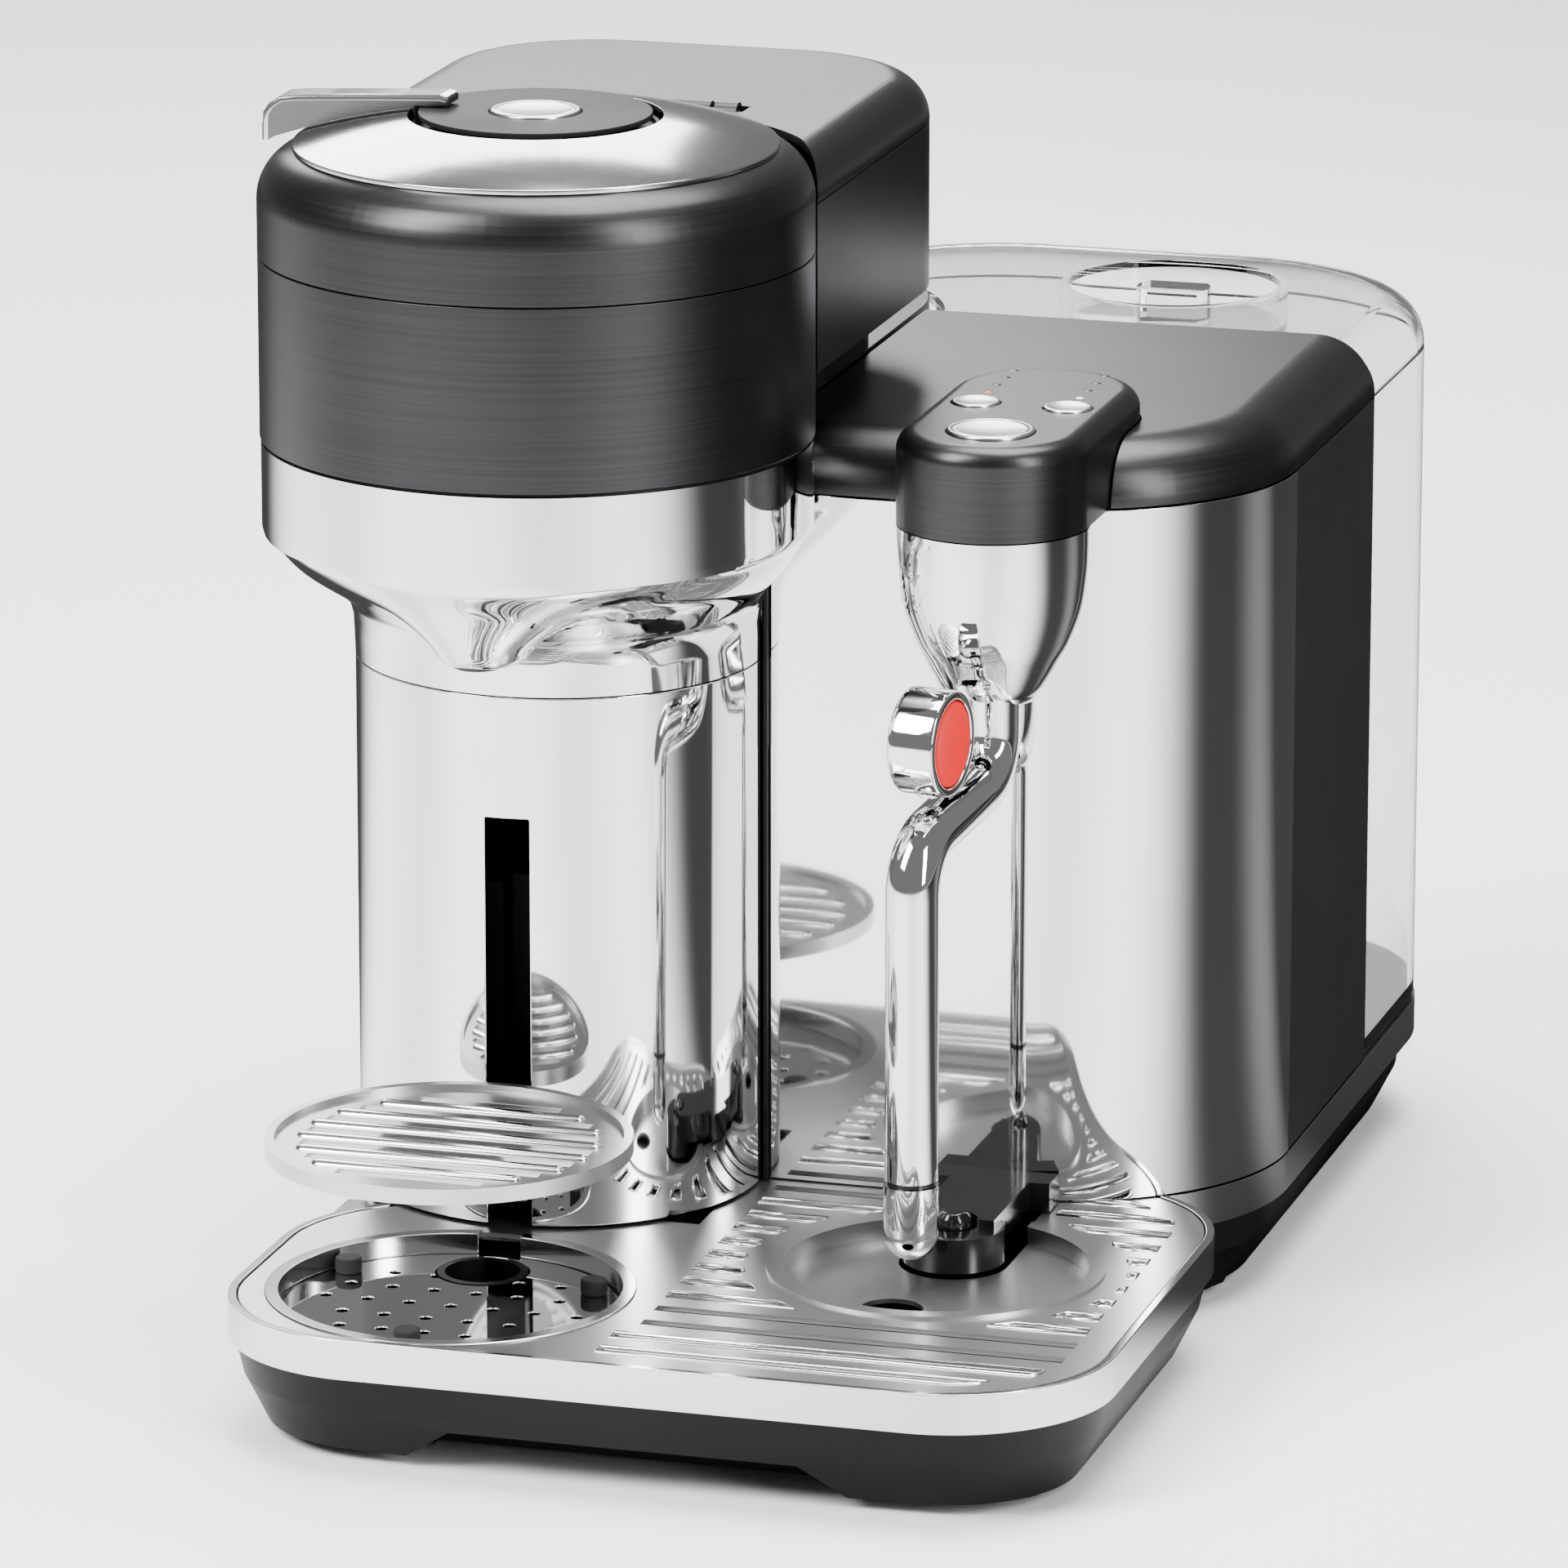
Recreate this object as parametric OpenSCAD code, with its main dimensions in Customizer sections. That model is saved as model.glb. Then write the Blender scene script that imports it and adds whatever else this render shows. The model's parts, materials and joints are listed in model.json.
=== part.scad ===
// Pod coffee machine with a steam wand, drip tray, cup stand and rear water tank.
// Millimetres, +Z up, front towards -Y, origin at the centre of the footprint on the floor.

/* [Overall] */
// Width over the brew head and the right side panel
overall_w = 245; // [220:1:280]
// Depth from the drip tray front to the tank back
overall_d = 421; // [385:1:460]
// Height of the drip tray deck above the floor
deck_h = 34; // [30:1:42]
// Height of the steam unit top
body_h = 233; // [215:1:255]

/* [Brew head] */
// Diameter of the round brew head
head_d = 140; // [128:1:150]
// Height of the seam between lid and drum
lid_seam_h = 284; // [270:1:300]
// Height of the drum band
drum_h = 47; // [40:1:52]
// Diameter of the round column under the head
column_d = 105; // [92:1:110]
// Width of the arm that carries the lid
arm_w = 134; // [120:1:138]
// How far the lid opens, degrees
lid_open = 60; // [40:1:65]

/* [Drip tray] */
// Distance from the brew head axis to the front of the tray
tray_front = 125; // [118:1:135]
// Corner radius of the tray
tray_corner = 42; // [30:1:48]
// Diameter of the round cup recess
recess_d = 92; // [80:1:96]
// Diameter of the milk jug dish
dish_d = 86; // [76:1:92]
// Pitch of the drain slots
slot_pitch = 11.6; // [9:0.1:14]
// Width of a drain slot
slot_w = 4.2; // [3:0.1:5]

/* [Cup stand] */
// Diameter of the round cup stand
stand_d = 92; // [80:1:96]
// Height of the cup stand rim above the floor
stand_h = 74; // [66:1:100]

/* [Steam unit] */
// Radius of the vertical front corner
body_corner = 60; // [40:1:66]
// Width of the steam head nose
nose_w = 49; // [42:1:54]
// Diameter of the steam tube
wand_d = 14; // [11:0.5:16]
// Diameter of the wand knob
knob_d = 26; // [22:1:28]

/* [Water tank] */
// Wall of the clear tank
tank_wall = 2.6; // [2:0.1:4]
// Depth of the tank front to back
tank_depth = 113; // [95:1:120]
// Diameter of the finger well in the tank lid
well_d = 62; // [50:1:70]

/* [Fits] */
// Gap between neighbouring covers
seam = 0.4; // [0.3:0.05:0.8]
// Running gap of a turning or sliding piece, each side
run = 0.3; // [0.25:0.05:0.6]
// Running gap of a pin in its eye, radial
pin_fit = 0.05; // [0.02:0.01:0.1]
// Wall of the metal covers
skin = 2; // [1.2:0.1:3]

/* [Hidden] */
$fn = 96;
head_r = head_d / 2;
lever_r = head_r + 0.9;
column_r = column_d / 2;
right_x = overall_w - lever_r;
rear_y = overall_d - tray_front;
head_x = lever_r - overall_w / 2;
head_y = tray_front - overall_d / 2;
foot_h = 3;
band_z = deck_h - 10;
tower_x = -3;
column_y = 27.5;
body_x = 51;
body_y = 34;
tank_y = rear_y - tank_depth;
body_rear = tank_y - 1.6;
tower_rear = body_rear + 2;
tank_left = tower_x;
cover_z = body_h - 16;
cover_fillet = 15.6;
neck_top = lid_seam_h - 33;
arm_x = arm_w / 2;
arm_rear = 165;
arm_corner = 44;
arm_seam = lid_seam_h + 11;
arm_top = lid_seam_h + 23;
drum_z = lid_seam_h - drum_h;
column_top = drum_z - 63;
lip_z = column_top + 14.5;
spout_y = 20 - head_r;
bin_half = column_r - 12.5;
bin_front = column_r - 14.5;
spout_r = 6;
spout_fit = 0.2;
lid_top = lid_seam_h + 26.5;
lid_fillet = 13;
fillet_r = head_r - lid_fillet;
fillet_z = lid_top - lid_fillet;
dome_r = head_r - 9;
dome_ball = 203;
dome_low = 117.6 + lid_seam_h - 284;
panel_r = 29.4;
hub_in = 26;
hinge_y = head_r + 4;
hinge_z = arm_top - 1.5;
pin_r = 1.5;
knuckle_r = 3.2;
recess_r = recess_d / 2;
recess_x = 0;
recess_y = -76;
drain_x = -1;
drain_y = -47;
dish_r = dish_d / 2;
dish_x = right_x - 62;
dish_y = -25.5;
probe_y = -9;
probe_r = 11.5;
stand_r = stand_d / 2;
post_w = 11;
nose_r = nose_w / 2;
nose_x = right_x - 60;
nose_y = 18;
nose_back = 67;
nose_top = body_h + 8;
wand_r = wand_d / 2;
ball_r = 8.4;
wand_y = nose_y + 2;
pivot_z = body_h - 57;
wand_turn = 8.4;
bend_r = 14;
bend_a = 82;
reach = 50.5;
bend_run = (reach - 2 * bend_r * (1 - cos(bend_a))) / sin(bend_a);
bend_drop = 2 * bend_r * sin(bend_a) + bend_run * cos(bend_a);
neck_drop = 13;
tube_top = pivot_z - neck_drop - bend_drop;
tip_z = deck_h + 3;
ring_z = tip_z + 20;
knob_r = knob_d / 2;
knob_reach = 40;
knob_z = pivot_z - 7;
floor_t = 3.5;
wall_t = 2.5;
tank_z = deck_h + 2;
tank_seam = cover_z - 0.4;
tank_top = body_h - 3;
well_x = 103;
well_y = rear_y - 50;
valve_x = 100;
valve_y = rear_y - 40;
deck_t = 1.2;
pulley_z = neck_top - 11;
motor_r = 21;
motor_y = 112;
bore_r = 26;
inlet_x = right_x - 95;

module at_head() {
    translate([head_x, head_y, 0]) children();
}

module slab(z0, z1) {
    translate([0, 0, z0]) linear_extrude(z1 - z0) children();
}

module corner(x, y, r, sx, sy) {
    difference() {
        translate([x - (sx > 0 ? 1 : r), y - (sy > 0 ? 1 : r)]) square([r + 1, r + 1]);
        translate([x + sx * r, y + sy * r]) circle(r);
    }
}

// rounded rectangle, radii in the order front left, front right, rear right, rear left
module rrect(x0, y0, x1, y1, r) {
    difference() {
        translate([x0, y0]) square([x1 - x0, y1 - y0]);
        if (r[0] > 0) corner(x0, y0, r[0], 1, 1);
        if (r[1] > 0) corner(x1, y0, r[1], -1, 1);
        if (r[2] > 0) corner(x1, y1, r[2], -1, -1);
        if (r[3] > 0) corner(x0, y1, r[3], 1, -1);
    }
}

module ring2(ro, ri) {
    difference() {
        circle(ro);
        circle(ri);
    }
}

module tower_plan(c) {
    translate([tower_x, column_y]) circle(column_r - c);
    translate([tower_x - column_r + c, column_y]) square([2 * (column_r - c), tower_rear - column_y]);
    translate([tower_x, tower_rear]) circle(column_r - c);
}

module body_plan(c) {
    rrect(body_x + c, body_y + c, right_x - c, body_rear - c, [0, body_corner - c, 0, 0]);
}

module house_plan(c) {
    r = body_corner - c;
    tower_plan(c);
    rrect(tank_left + c, body_y + c, right_x - c, rear_y - c, [0, r, r, r]);
}

module tray_plan(c) {
    r = tray_corner - c;
    rrect(-54 + c, -tray_front + c, right_x - 0.5 - c, -6 - c, [r, r, 0, r]);
    rrect(42 + c, -tray_front + c, right_x - 0.5 - c, 54 - c, [0, r, r, 0]);
}

module base_plan(c) {
    difference() {
        house_plan(c);
        tray_plan(-1 - c);
    }
}

module tank_plan(c) {
    r = body_corner - c;
    difference() {
        rrect(tank_left + c, tank_y + c, right_x - c, rear_y - c, [0, 0, r, r]);
        translate([tower_x, tower_rear]) circle(column_r + 1.6 + c);
    }
}

// block with a filleted top edge along the right, rear and left, fillet radius f
module loaf_back(x0, y0, x1, y1, rc, z0, z1, f) {
    intersection() {
        loaf_back_full(x0, y0, x1, y1, rc, z0, z1, f);
        translate([x0 - 1, y0 - 1, z0]) cube([x1 - x0 + 2, y1 - y0 + 2, z1 - z0 + 1]);
    }
}

module loaf_back_full(x0, y0, x1, y1, rc, z0, z1, f) {
    slab(z0, z1) rrect(x0 + f, y0, x1 - f, y1 - f, [0, 0, rc - f, rc - f]);
    slab(z0, z1 - f) rrect(x0, y0, x1, y1, [0, 0, rc, rc]);
    for (x = [x0 + f, x1 - f])
        translate([x, y0, z1 - f]) rotate([-90, 0, 0]) cylinder(r = f, h = y1 - rc - y0);
    translate([x0 + rc, y1 - f, z1 - f]) rotate([0, 90, 0]) cylinder(r = f, h = x1 - x0 - 2 * rc);
    translate([x1 - rc, y1 - rc, z1 - f]) rotate_extrude(angle = 90)
        translate([rc - f, 0]) circle(f);
    translate([x0 + rc, y1 - rc, z1 - f]) rotate([0, 0, 90]) rotate_extrude(angle = 90)
        translate([rc - f, 0]) circle(f);
}

// block with a filleted top edge along the front and right, fillet radius f
module loaf_front(x0, y0, x1, y1, rc, z0, z1, f) {
    intersection() {
        loaf_front_full(x0, y0, x1, y1, rc, z0, z1, f);
        translate([x0 - 1, y0 - 1, z0]) cube([x1 - x0 + 2, y1 - y0 + 2, z1 - z0 + 1]);
    }
}

module loaf_front_full(x0, y0, x1, y1, rc, z0, z1, f) {
    slab(z0, z1) rrect(x0, y0 + f, x1 - f, y1, [0, rc - f, 0, 0]);
    slab(z0, z1 - f) rrect(x0, y0, x1, y1, [0, rc, 0, 0]);
    translate([x0, y0 + f, z1 - f]) rotate([0, 90, 0]) cylinder(r = f, h = x1 - rc - x0);
    translate([x1 - f, y0 + rc, z1 - f]) rotate([-90, 0, 0]) cylinder(r = f, h = y1 - y0 - rc);
    translate([x1 - rc, y0 + rc, z1 - f]) rotate([0, 0, -90]) rotate_extrude(angle = 90)
        translate([rc - f, 0]) circle(f);
}

module nose_plan(c) {
    translate([nose_x, nose_y]) circle(nose_r - c);
    translate([nose_x, nose_back]) circle(nose_r - c);
    translate([nose_x - nose_r + c, nose_y]) square([nose_w - 2 * c, nose_back - nose_y]);
}

// drip tray -------------------------------------------------------------

module tub_part() {
    color("#151515") at_head() difference() {
        union() {
            slab(band_z - 9, band_z) tray_plan(1.5);
            slab(foot_h, band_z - 9) tray_plan(7);
        }
        difference() {
            slab(foot_h + 3, band_z + 1) tray_plan(10);
            translate([8, -tray_front, 0]) cube([100, 26, foot_h + 12]);
        }
        translate([12, -tray_front - 1, foot_h - 1]) cube([92, 22, 9]);
    }
}

module tray_feet_part() {
    color("#202020") at_head()
        for (p = [[-30, -90], [150, -90], [150, 20], [-25, -30]])
            translate([p[0], p[1], 0]) cylinder(r = 8, h = foot_h);
}

module tray_band() {
    color("#c8c8c8") at_head() difference() {
        slab(band_z, deck_h + 0.4) tray_plan(0);
        slab(band_z - 1, deck_h + 2) tray_plan(2.2);
        slab(deck_h - 0.2, deck_h + 2) body_plan(-0.6);
        translate([-36, -20, band_z - 1]) cube([186, 100, 20]);
    }
}

module slot_rows() {
    for (i = [0:13]) {
        y = -112 + i * slot_pitch;
        x0 = (i < 2) ? 50 : 54;
        translate([x0, y - slot_w / 2]) square([right_x - 12 - x0, slot_w]);
    }
}

module grille_part() {
    color("#b4b4b4") at_head() slab(deck_h - deck_t, deck_h) difference() {
        tray_plan(2.6);
        translate([recess_x, recess_y]) circle(recess_r);
        translate([dish_x, dish_y]) circle(dish_r - 1.6);
        translate([dish_x - 14, dish_y]) square([28, 90]);
        difference() {
            intersection() {
                slot_rows();
                tray_plan(10);
            }
            translate([recess_x, recess_y]) circle(recess_r + 6);
            translate([dish_x, dish_y]) circle(dish_r + 6);
            translate([dish_x - 18, dish_y]) square([36, 90]);
            translate([-60, 46]) square([240, 12]);
        }
    }
}

module dish_part() {
    color("#b0b0b0") at_head() difference() {
        translate([dish_x, dish_y, deck_h]) rotate_extrude() union() {
            translate([dish_r - 1.6, 0]) square([1.6, 0.8]);
            translate([dish_r - 4.4, -4]) square([2.8, 4.8]);
            translate([0, -5.2]) square([dish_r - 1.6, 1.2]);
        }
        translate([dish_x, probe_y, deck_h - 8]) cylinder(r = 14, h = 12);
        translate([dish_x - 14, probe_y, deck_h - 8]) cube([28, 60, 12]);
        translate([dish_x - 5, dish_y - 24, deck_h - 8]) cylinder(r = 8, h = 5);
    }
}

module recess_wall() {
    color("#d4d4d4") at_head() difference() {
        translate([recess_x, recess_y, deck_h]) rotate_extrude() union() {
            translate([recess_r - 3, -6]) square([2.6, 6.5]);
            translate([recess_r - 0.4, 0]) square([1.0, 0.5]);
            translate([recess_r - 7, -7.2]) square([6.6, 1.2]);
        }
        translate([drain_x - post_w / 2, drain_y, deck_h - 9]) cube([post_w, 40, 12]);
        translate([drain_x, drain_y, deck_h - 9]) cylinder(r = 12, h = 12);
    }
}

module recess_disc() {
    color("#e6e6e6") at_head() translate([recess_x, recess_y, 0]) slab(deck_h - 5.8, deck_h - 4.8)
    difference() {
        circle(recess_r - 3.6);
        translate([drain_x - recess_x, drain_y - recess_y]) circle(12);
        for (i = [-3:3], j = [-3:2])
            if (norm([i * 11 + (j % 2) * 3, j * 11]) < recess_r - 12)
                translate([i * 11 + (j % 2) * 3, j * 11]) circle(1.5);
    }
}

module bumps_part() {
    color("#181818") at_head()
        for (p = [[149.9, 7.3], [268.2, 14.4], [31.6, 9]])
            translate([recess_x + (recess_r - p[1]) * cos(p[0]), recess_y + (recess_r - p[1]) * sin(p[0]),
                deck_h - 4.8]) cylinder(r = 3.4, h = 4);
}

module drain_cup_part() {
    color("#121212") at_head() difference() {
        union() {
            translate([drain_x, drain_y, band_z - 4]) cylinder(r = 11.6, h = deck_h - 4.6 - band_z + 4);
            translate([drain_x - 5.2, drain_y, band_z - 4]) cube([10.4, 20, deck_h - 2 - band_z]);
        }
        translate([drain_x, drain_y, band_z - 2]) cylinder(r = 9.6, h = 20);
        translate([drain_x - 3.2, drain_y, band_z - 2]) cube([6.4, 18, 20]);
        translate([drain_x, drain_y, band_z - 6]) cylinder(r = 4, h = 6);
    }
}

// base and covers -------------------------------------------------------

module base_shell_part() {
    color("#161616") at_head() difference() {
        union() {
            slab(band_z - 9, deck_h) base_plan(2.6);
            slab(foot_h, band_z - 9) base_plan(9);
        }
        slab(foot_h + floor_t, deck_h + 1) base_plan(12);
        inlet_box(3, 10.4, 3);
    }
    color("#161616") at_head() difference() {
        inlet_box(0, 11.2, 0);
        inlet_box(3, 20, 3);
        translate([inlet_x + 3, rear_y - 10.8, foot_h + 8]) cube([16, 20, 8]);
    }
    color("#161616") at_head() for (x = [6.5, 15.5])
        translate([inlet_x + x, rear_y - 11, foot_h + 12]) rotate([-90, 0, 0]) cylinder(r = 1, h = 6);
}

module inlet_box(inset, depth, back) {
    translate([inlet_x + inset, rear_y - 13.8 + back, foot_h + 5 + inset])
        cube([22 - 2 * inset, depth, 14 - 2 * inset]);
}

module base_feet() {
    color("#202020") at_head()
        for (p = [[-34, 30], [150, 80], [150, 240], [30, 262]])
            translate([p[0], p[1], 0]) cylinder(r = 8, h = foot_h);
}

module base_band() {
    color("#cacaca") at_head() difference() {
        slab(band_z, deck_h - 0.2) house_plan(0);
        slab(band_z - 1, deck_h + 1) house_plan(2.2);
        slab(band_z - 1, deck_h + 1) tray_plan(-1.2);
        translate([tower_x - 100, -60, band_z - 1]) cube([200, 120, 20]);
    }
}

module front_panel() {
    color("#e0e0e0") at_head() difference() {
        slab(deck_h + seam, cover_z - 0.6) body_plan(0);
        slab(deck_h - 1, cover_z + 1) body_plan(1.6);
        translate([body_x - 1, body_y + body_corner + 1, deck_h - 1]) cube([200, 200, 250]);
        translate([body_x - 1, body_y + 1.6, deck_h - 1]) cube([2.6, 60, 250]);
        funnel_room();
    }
}

module side_panel() {
    color("#3a3a3c") at_head()
        translate([right_x - 1.6, body_y + body_corner + 1.2, deck_h + seam])
            cube([1.6, body_rear - body_y - body_corner - 1.2, cover_z - deck_h - 0.6 - seam]);
}

module rear_panel_part() {
    color("#1a1a1a") at_head()
        translate([body_x + 1, body_rear - wall_t, deck_h])
            cube([right_x - body_x - 3, wall_t, cover_z - deck_h - 0.6]);
}

module body_cover() {
    color("#3c3c3e") at_head() difference() {
        loaf_front(body_x, body_y, right_x, body_rear, body_corner, cover_z, body_h, cover_fillet);
        difference() {
            loaf_front(body_x + skin, body_y + skin, right_x - skin, body_rear - skin,
                body_corner - skin, cover_z - 1, body_h - skin, cover_fillet - skin);
        }
        slab(cover_z - 1, body_h + 1) nose_plan(-seam);
        funnel_room();
    }
}

module steam_frame_part() {
    color("#1c1c1c") at_head() {
        translate([body_x + 4, body_y + 26, deck_h]) cube([3, 110, 150]);
        translate([body_x + 7, body_y + 60, deck_h + 96]) cube([96, 76, 3]);
        translate([body_x + 7, body_y + 60, deck_h]) cube([96, 76, 3]);
    }
}

module corner_trim_part() {
    color("#0e0e0e") at_head() difference() {
        translate([tower_x + column_r + 0.3, body_y - 2, deck_h + seam])
            cube([body_x - tower_x - column_r - 0.6, 60, drum_z - deck_h - 24]);
        funnel_room();
    }
}

// tower and arm ---------------------------------------------------------

module tower_shell() {
    color("#39393b") at_head() difference() {
        slab(deck_h, body_h) tower_plan(0);
        slab(deck_h - 1, body_h - wall_t) tower_plan(skin);
        slab(deck_h - 1, body_h + 1)
            translate([tower_x - column_r - 1, column_y - column_r - 1])
                square([2 * column_r + 2, column_r + 33]);
        translate([0, motor_y, body_h - 6]) cylinder(r = motor_r + 0.5, h = 12);
        funnel_room();
    }
}

module container_front() {
    color("#e2e2e2") at_head() difference() {
        slab(deck_h + seam + 0.4, column_top - seam) translate([tower_x, column_y]) circle(column_r);
        slab(deck_h - 1, column_top + 1) translate([tower_x, column_y]) circle(column_r - 1.6);
        translate([-100, column_y + 30, deck_h - 1]) cube([200, 100, 200]);
        translate([drain_x - post_w / 2 - run, -40, deck_h]) cube([post_w + 2 * run, 40, 108]);
    }
}

module container_bin() {
    color("#1b1b1b") at_head() difference() {
        translate([tower_x - bin_half, column_y - bin_front, deck_h + 3]) cube([2 * bin_half, bin_front + 70, 84]);
        translate([tower_x - bin_half + 2, column_y - bin_front + 14, deck_h + 5])
            cube([2 * bin_half - 4, bin_front + 54, 90]);
        for (s = [-1, 1])
            translate([tower_x + s * (bin_half + 6), column_y - bin_front - 3, deck_h]) rotate([0, 0, s * 45])
                cube([26, 26, 200], center = true);
        translate([drain_x - post_w / 2 - run, -40, deck_h]) cube([post_w + 2 * run, 38, 100]);
    }
}

module container_guide_part() {
    color("#101010") at_head()
        for (s = [-1, 1])
            translate([tower_x + s * (column_r - 8.5) - 2, column_y + 34, deck_h]) cube([4, 60, 12]);
}

function funnel_k(t) = pow(max(0, 1 - t * 1.15), 2);
function funnel_r(t) = column_r + (head_r - column_r) * (0.5 - 0.5 * cos(180 * min(1, t * 1.15)));

module funnel_shape() {
    h = drum_z - 1 - column_top;
    for (i = [0:5]) {
        t0 = i / 6;
        t1 = (i + 1) / 6;
        hull() {
            translate([tower_x * funnel_k(t0), column_y * funnel_k(t0), column_top + h * t0])
                cylinder(r = funnel_r(t0), h = 0.1, $fn = 48);
            translate([tower_x * funnel_k(t1), column_y * funnel_k(t1), column_top + h * t1 - 0.1])
                cylinder(r = funnel_r(t1), h = 0.1, $fn = 48);
        }
    }
    hull() {
        translate([0, spout_y + 4, lip_z]) cylinder(r = 12, h = 0.1, $fn = 32);
        translate([0, spout_y + 20, lip_z]) cylinder(r = 14, h = 0.1, $fn = 32);
        translate([0, 61 - head_r, column_top + 34]) cylinder(r = head_r - 23, h = 0.1, $fn = 32);
    }
}

// stepped room around the funnel, cut from what stands beside it
module funnel_room() {
    h = drum_z - 1 - column_top;
    for (i = [0:5]) {
        t0 = i / 6;
        t1 = (i + 1) / 6;
        translate([tower_x * funnel_k(t0), column_y * funnel_k(t0), column_top + h * t0 - 0.5])
            cylinder(r = funnel_r(t1) + 0.8, h = h / 6 + 1);
        translate([tower_x * funnel_k(t1), column_y * funnel_k(t1), column_top + h * t0 - 0.5])
            cylinder(r = funnel_r(t1) + 0.8, h = h / 6 + 1);
    }
    translate([0, 0, drum_z - 12]) cylinder(r = head_r + seam + 0.3, h = 80);
}

module funnel() {
    color("#e4e4e4") at_head() difference() {
        union() {
            funnel_shape();
        }
        translate([tower_x, column_y, column_top - 1]) cylinder(r = column_r - 12, h = 70);
        translate([0, 0, drum_z - 24]) cylinder(r = head_r - 14, h = 40);
        translate([0, spout_y, column_top - 1]) cylinder(r = spout_r + spout_fit, h = 40);
    }
}

module spout_part() {
    color("#131313") at_head() difference() {
        union() {
            translate([0, spout_y, lip_z + 1.5]) cylinder(r = spout_r, h = drum_z - lip_z - 25.5);
            translate([0, spout_y + 6, drum_z - 24]) cylinder(r = 10, h = 21);
        }
        translate([0, spout_y, column_top]) cylinder(r = 3.4, h = 80);
    }
}

module gap_ring_part() {
    color("#080808") at_head() slab(drum_z - 1, drum_z) ring2(head_r - 1.4, head_r - 8);
}

module drum() {
    color("#343436") at_head() difference() {
        slab(drum_z, lid_seam_h - seam) circle(head_r);
        slab(drum_z + 2.4, lid_seam_h + 1) circle(head_r - skin);
        slab(drum_z - 1, drum_z + 4) circle(head_r - 14);
        translate([-44, 40, drum_z + 2]) cube([88, 40, 44]);
    }
}

module brew_bowl_part() {
    color("#1a1a1a") at_head() difference() {
        union() {
            slab(neck_top - 2, lid_seam_h - 3) circle(46);
            slab(lid_seam_h - 6, lid_seam_h - 3) circle(head_r - skin - 0.6);
            translate([0, spout_y + 6, drum_z - 3]) cylinder(r = 9, h = 17);
        }
        slab(neck_top, lid_seam_h) circle(43);
        slab(neck_top - 4, neck_top + 4) circle(6 + pin_fit);
        translate([0, spout_y + 12, drum_z - 4]) cylinder(r = 3, h = 24);
    }
}

module capsule_holder() {
    color("#2a2a2a") at_head() difference() {
        union() {
            slab(neck_top + 1, neck_top + 6) circle(30);
            slab(neck_top + 6, lid_seam_h - 5) circle(34);
            slab(pulley_z + 2, neck_top + 1) circle(6);
            slab(pulley_z - 1, pulley_z + 8) circle(14);
        }
        slab(neck_top + 8, lid_seam_h) circle(bore_r);
        slab(lid_seam_h - 9, lid_seam_h) circle(31);
    }
}

module spin_motor() {
    color("#8a8a8a") at_head() difference() {
        translate([0, motor_y, pulley_z - 52]) cylinder(r = motor_r, h = 46);
        translate([0, motor_y, pulley_z - 50]) cylinder(r = 2.5 + pin_fit, h = 60);
    }
}

module motor_rotor() {
    color("#c0c0c0") at_head() {
        translate([0, motor_y, pulley_z - 46]) cylinder(r = 2.5, h = 52);
        translate([0, motor_y, pulley_z - 1]) cylinder(r = 7, h = 9);
    }
}

module neck() {
    color("#0d0d0d") at_head() difference() {
        slab(body_h, neck_top) rrect(-50, head_r - 22, 50, arm_rear - 5, [0, 0, arm_corner - 8, arm_corner - 8]);
        slab(body_h - 1, neck_top + 1) rrect(-47, head_r - 30, 47, arm_rear - 8, [0, 0, arm_corner - 10, arm_corner - 10]);
        slab(body_h - 1, neck_top + 1) circle(head_r + seam);
    }
}

module arm_body() {
    color("#3a3a3c") at_head() difference() {
        slab(neck_top, arm_seam - seam) rrect(-arm_x, 0, arm_x, arm_rear, [0, 0, arm_corner, arm_corner]);
        slab(neck_top + skin, arm_seam + 1)
            rrect(-arm_x + skin, 0, arm_x - skin, arm_rear - skin, [0, 0, arm_corner - skin, arm_corner - skin]);
        slab(neck_top - 1, arm_seam + 1) circle(head_r + seam);
        slab(neck_top - 1, neck_top + 4) translate([-40, 50]) square([80, 90]);
    }
}

module hinge_clear(r) {
    translate([-33, hinge_y, hinge_z]) rotate([0, 90, 0]) cylinder(r = r, h = 66);
    translate([-33, hinge_y - r, hinge_z]) cube([66, 2 * r, 8]);
}

module arm_cover() {
    color("#3e3e40") at_head() {
        difference() {
            loaf_back(-arm_x, 0, arm_x, arm_rear, arm_corner, arm_seam, arm_top, arm_top - arm_seam - 0.5);
            difference() {
                loaf_back(-arm_x + skin, -1, arm_x - skin, arm_rear - skin, arm_corner - skin,
                    arm_seam - 1, arm_top - skin, arm_top - arm_seam - skin - 0.5);
                translate([-36, head_r - 4, arm_top - 12]) cube([72, 16, 14]);
            }
            slab(arm_seam - 1, arm_top + 1) circle(head_r + seam + 0.2);
            hinge_clear(knuckle_r + 0.6);
            for (s = [-1, 1])
                translate([s * 18 - 6.6, 50, arm_top - 8]) cube([13.2, hinge_y - 50, 12]);
        }
        difference() {
            for (x = [-31, -5, 25]) translate([x, 0, 0]) {
                w = (x == -5) ? 10 : 6;
                translate([0, hinge_y, hinge_z]) rotate([0, 90, 0]) cylinder(r = knuckle_r, h = w);
                translate([0, hinge_y, hinge_z - knuckle_r]) cube([w, 6, 4]);
            }
            translate([-34, hinge_y, hinge_z]) rotate([0, 90, 0]) cylinder(r = pin_r, h = 68);
        }
    }
}

module hinge_pin() {
    color("#c4c4c4") at_head()
        translate([-31, hinge_y, hinge_z]) rotate([0, 90, 0]) cylinder(r = pin_r, h = 62);
}

// lid -------------------------------------------------------------------

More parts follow.
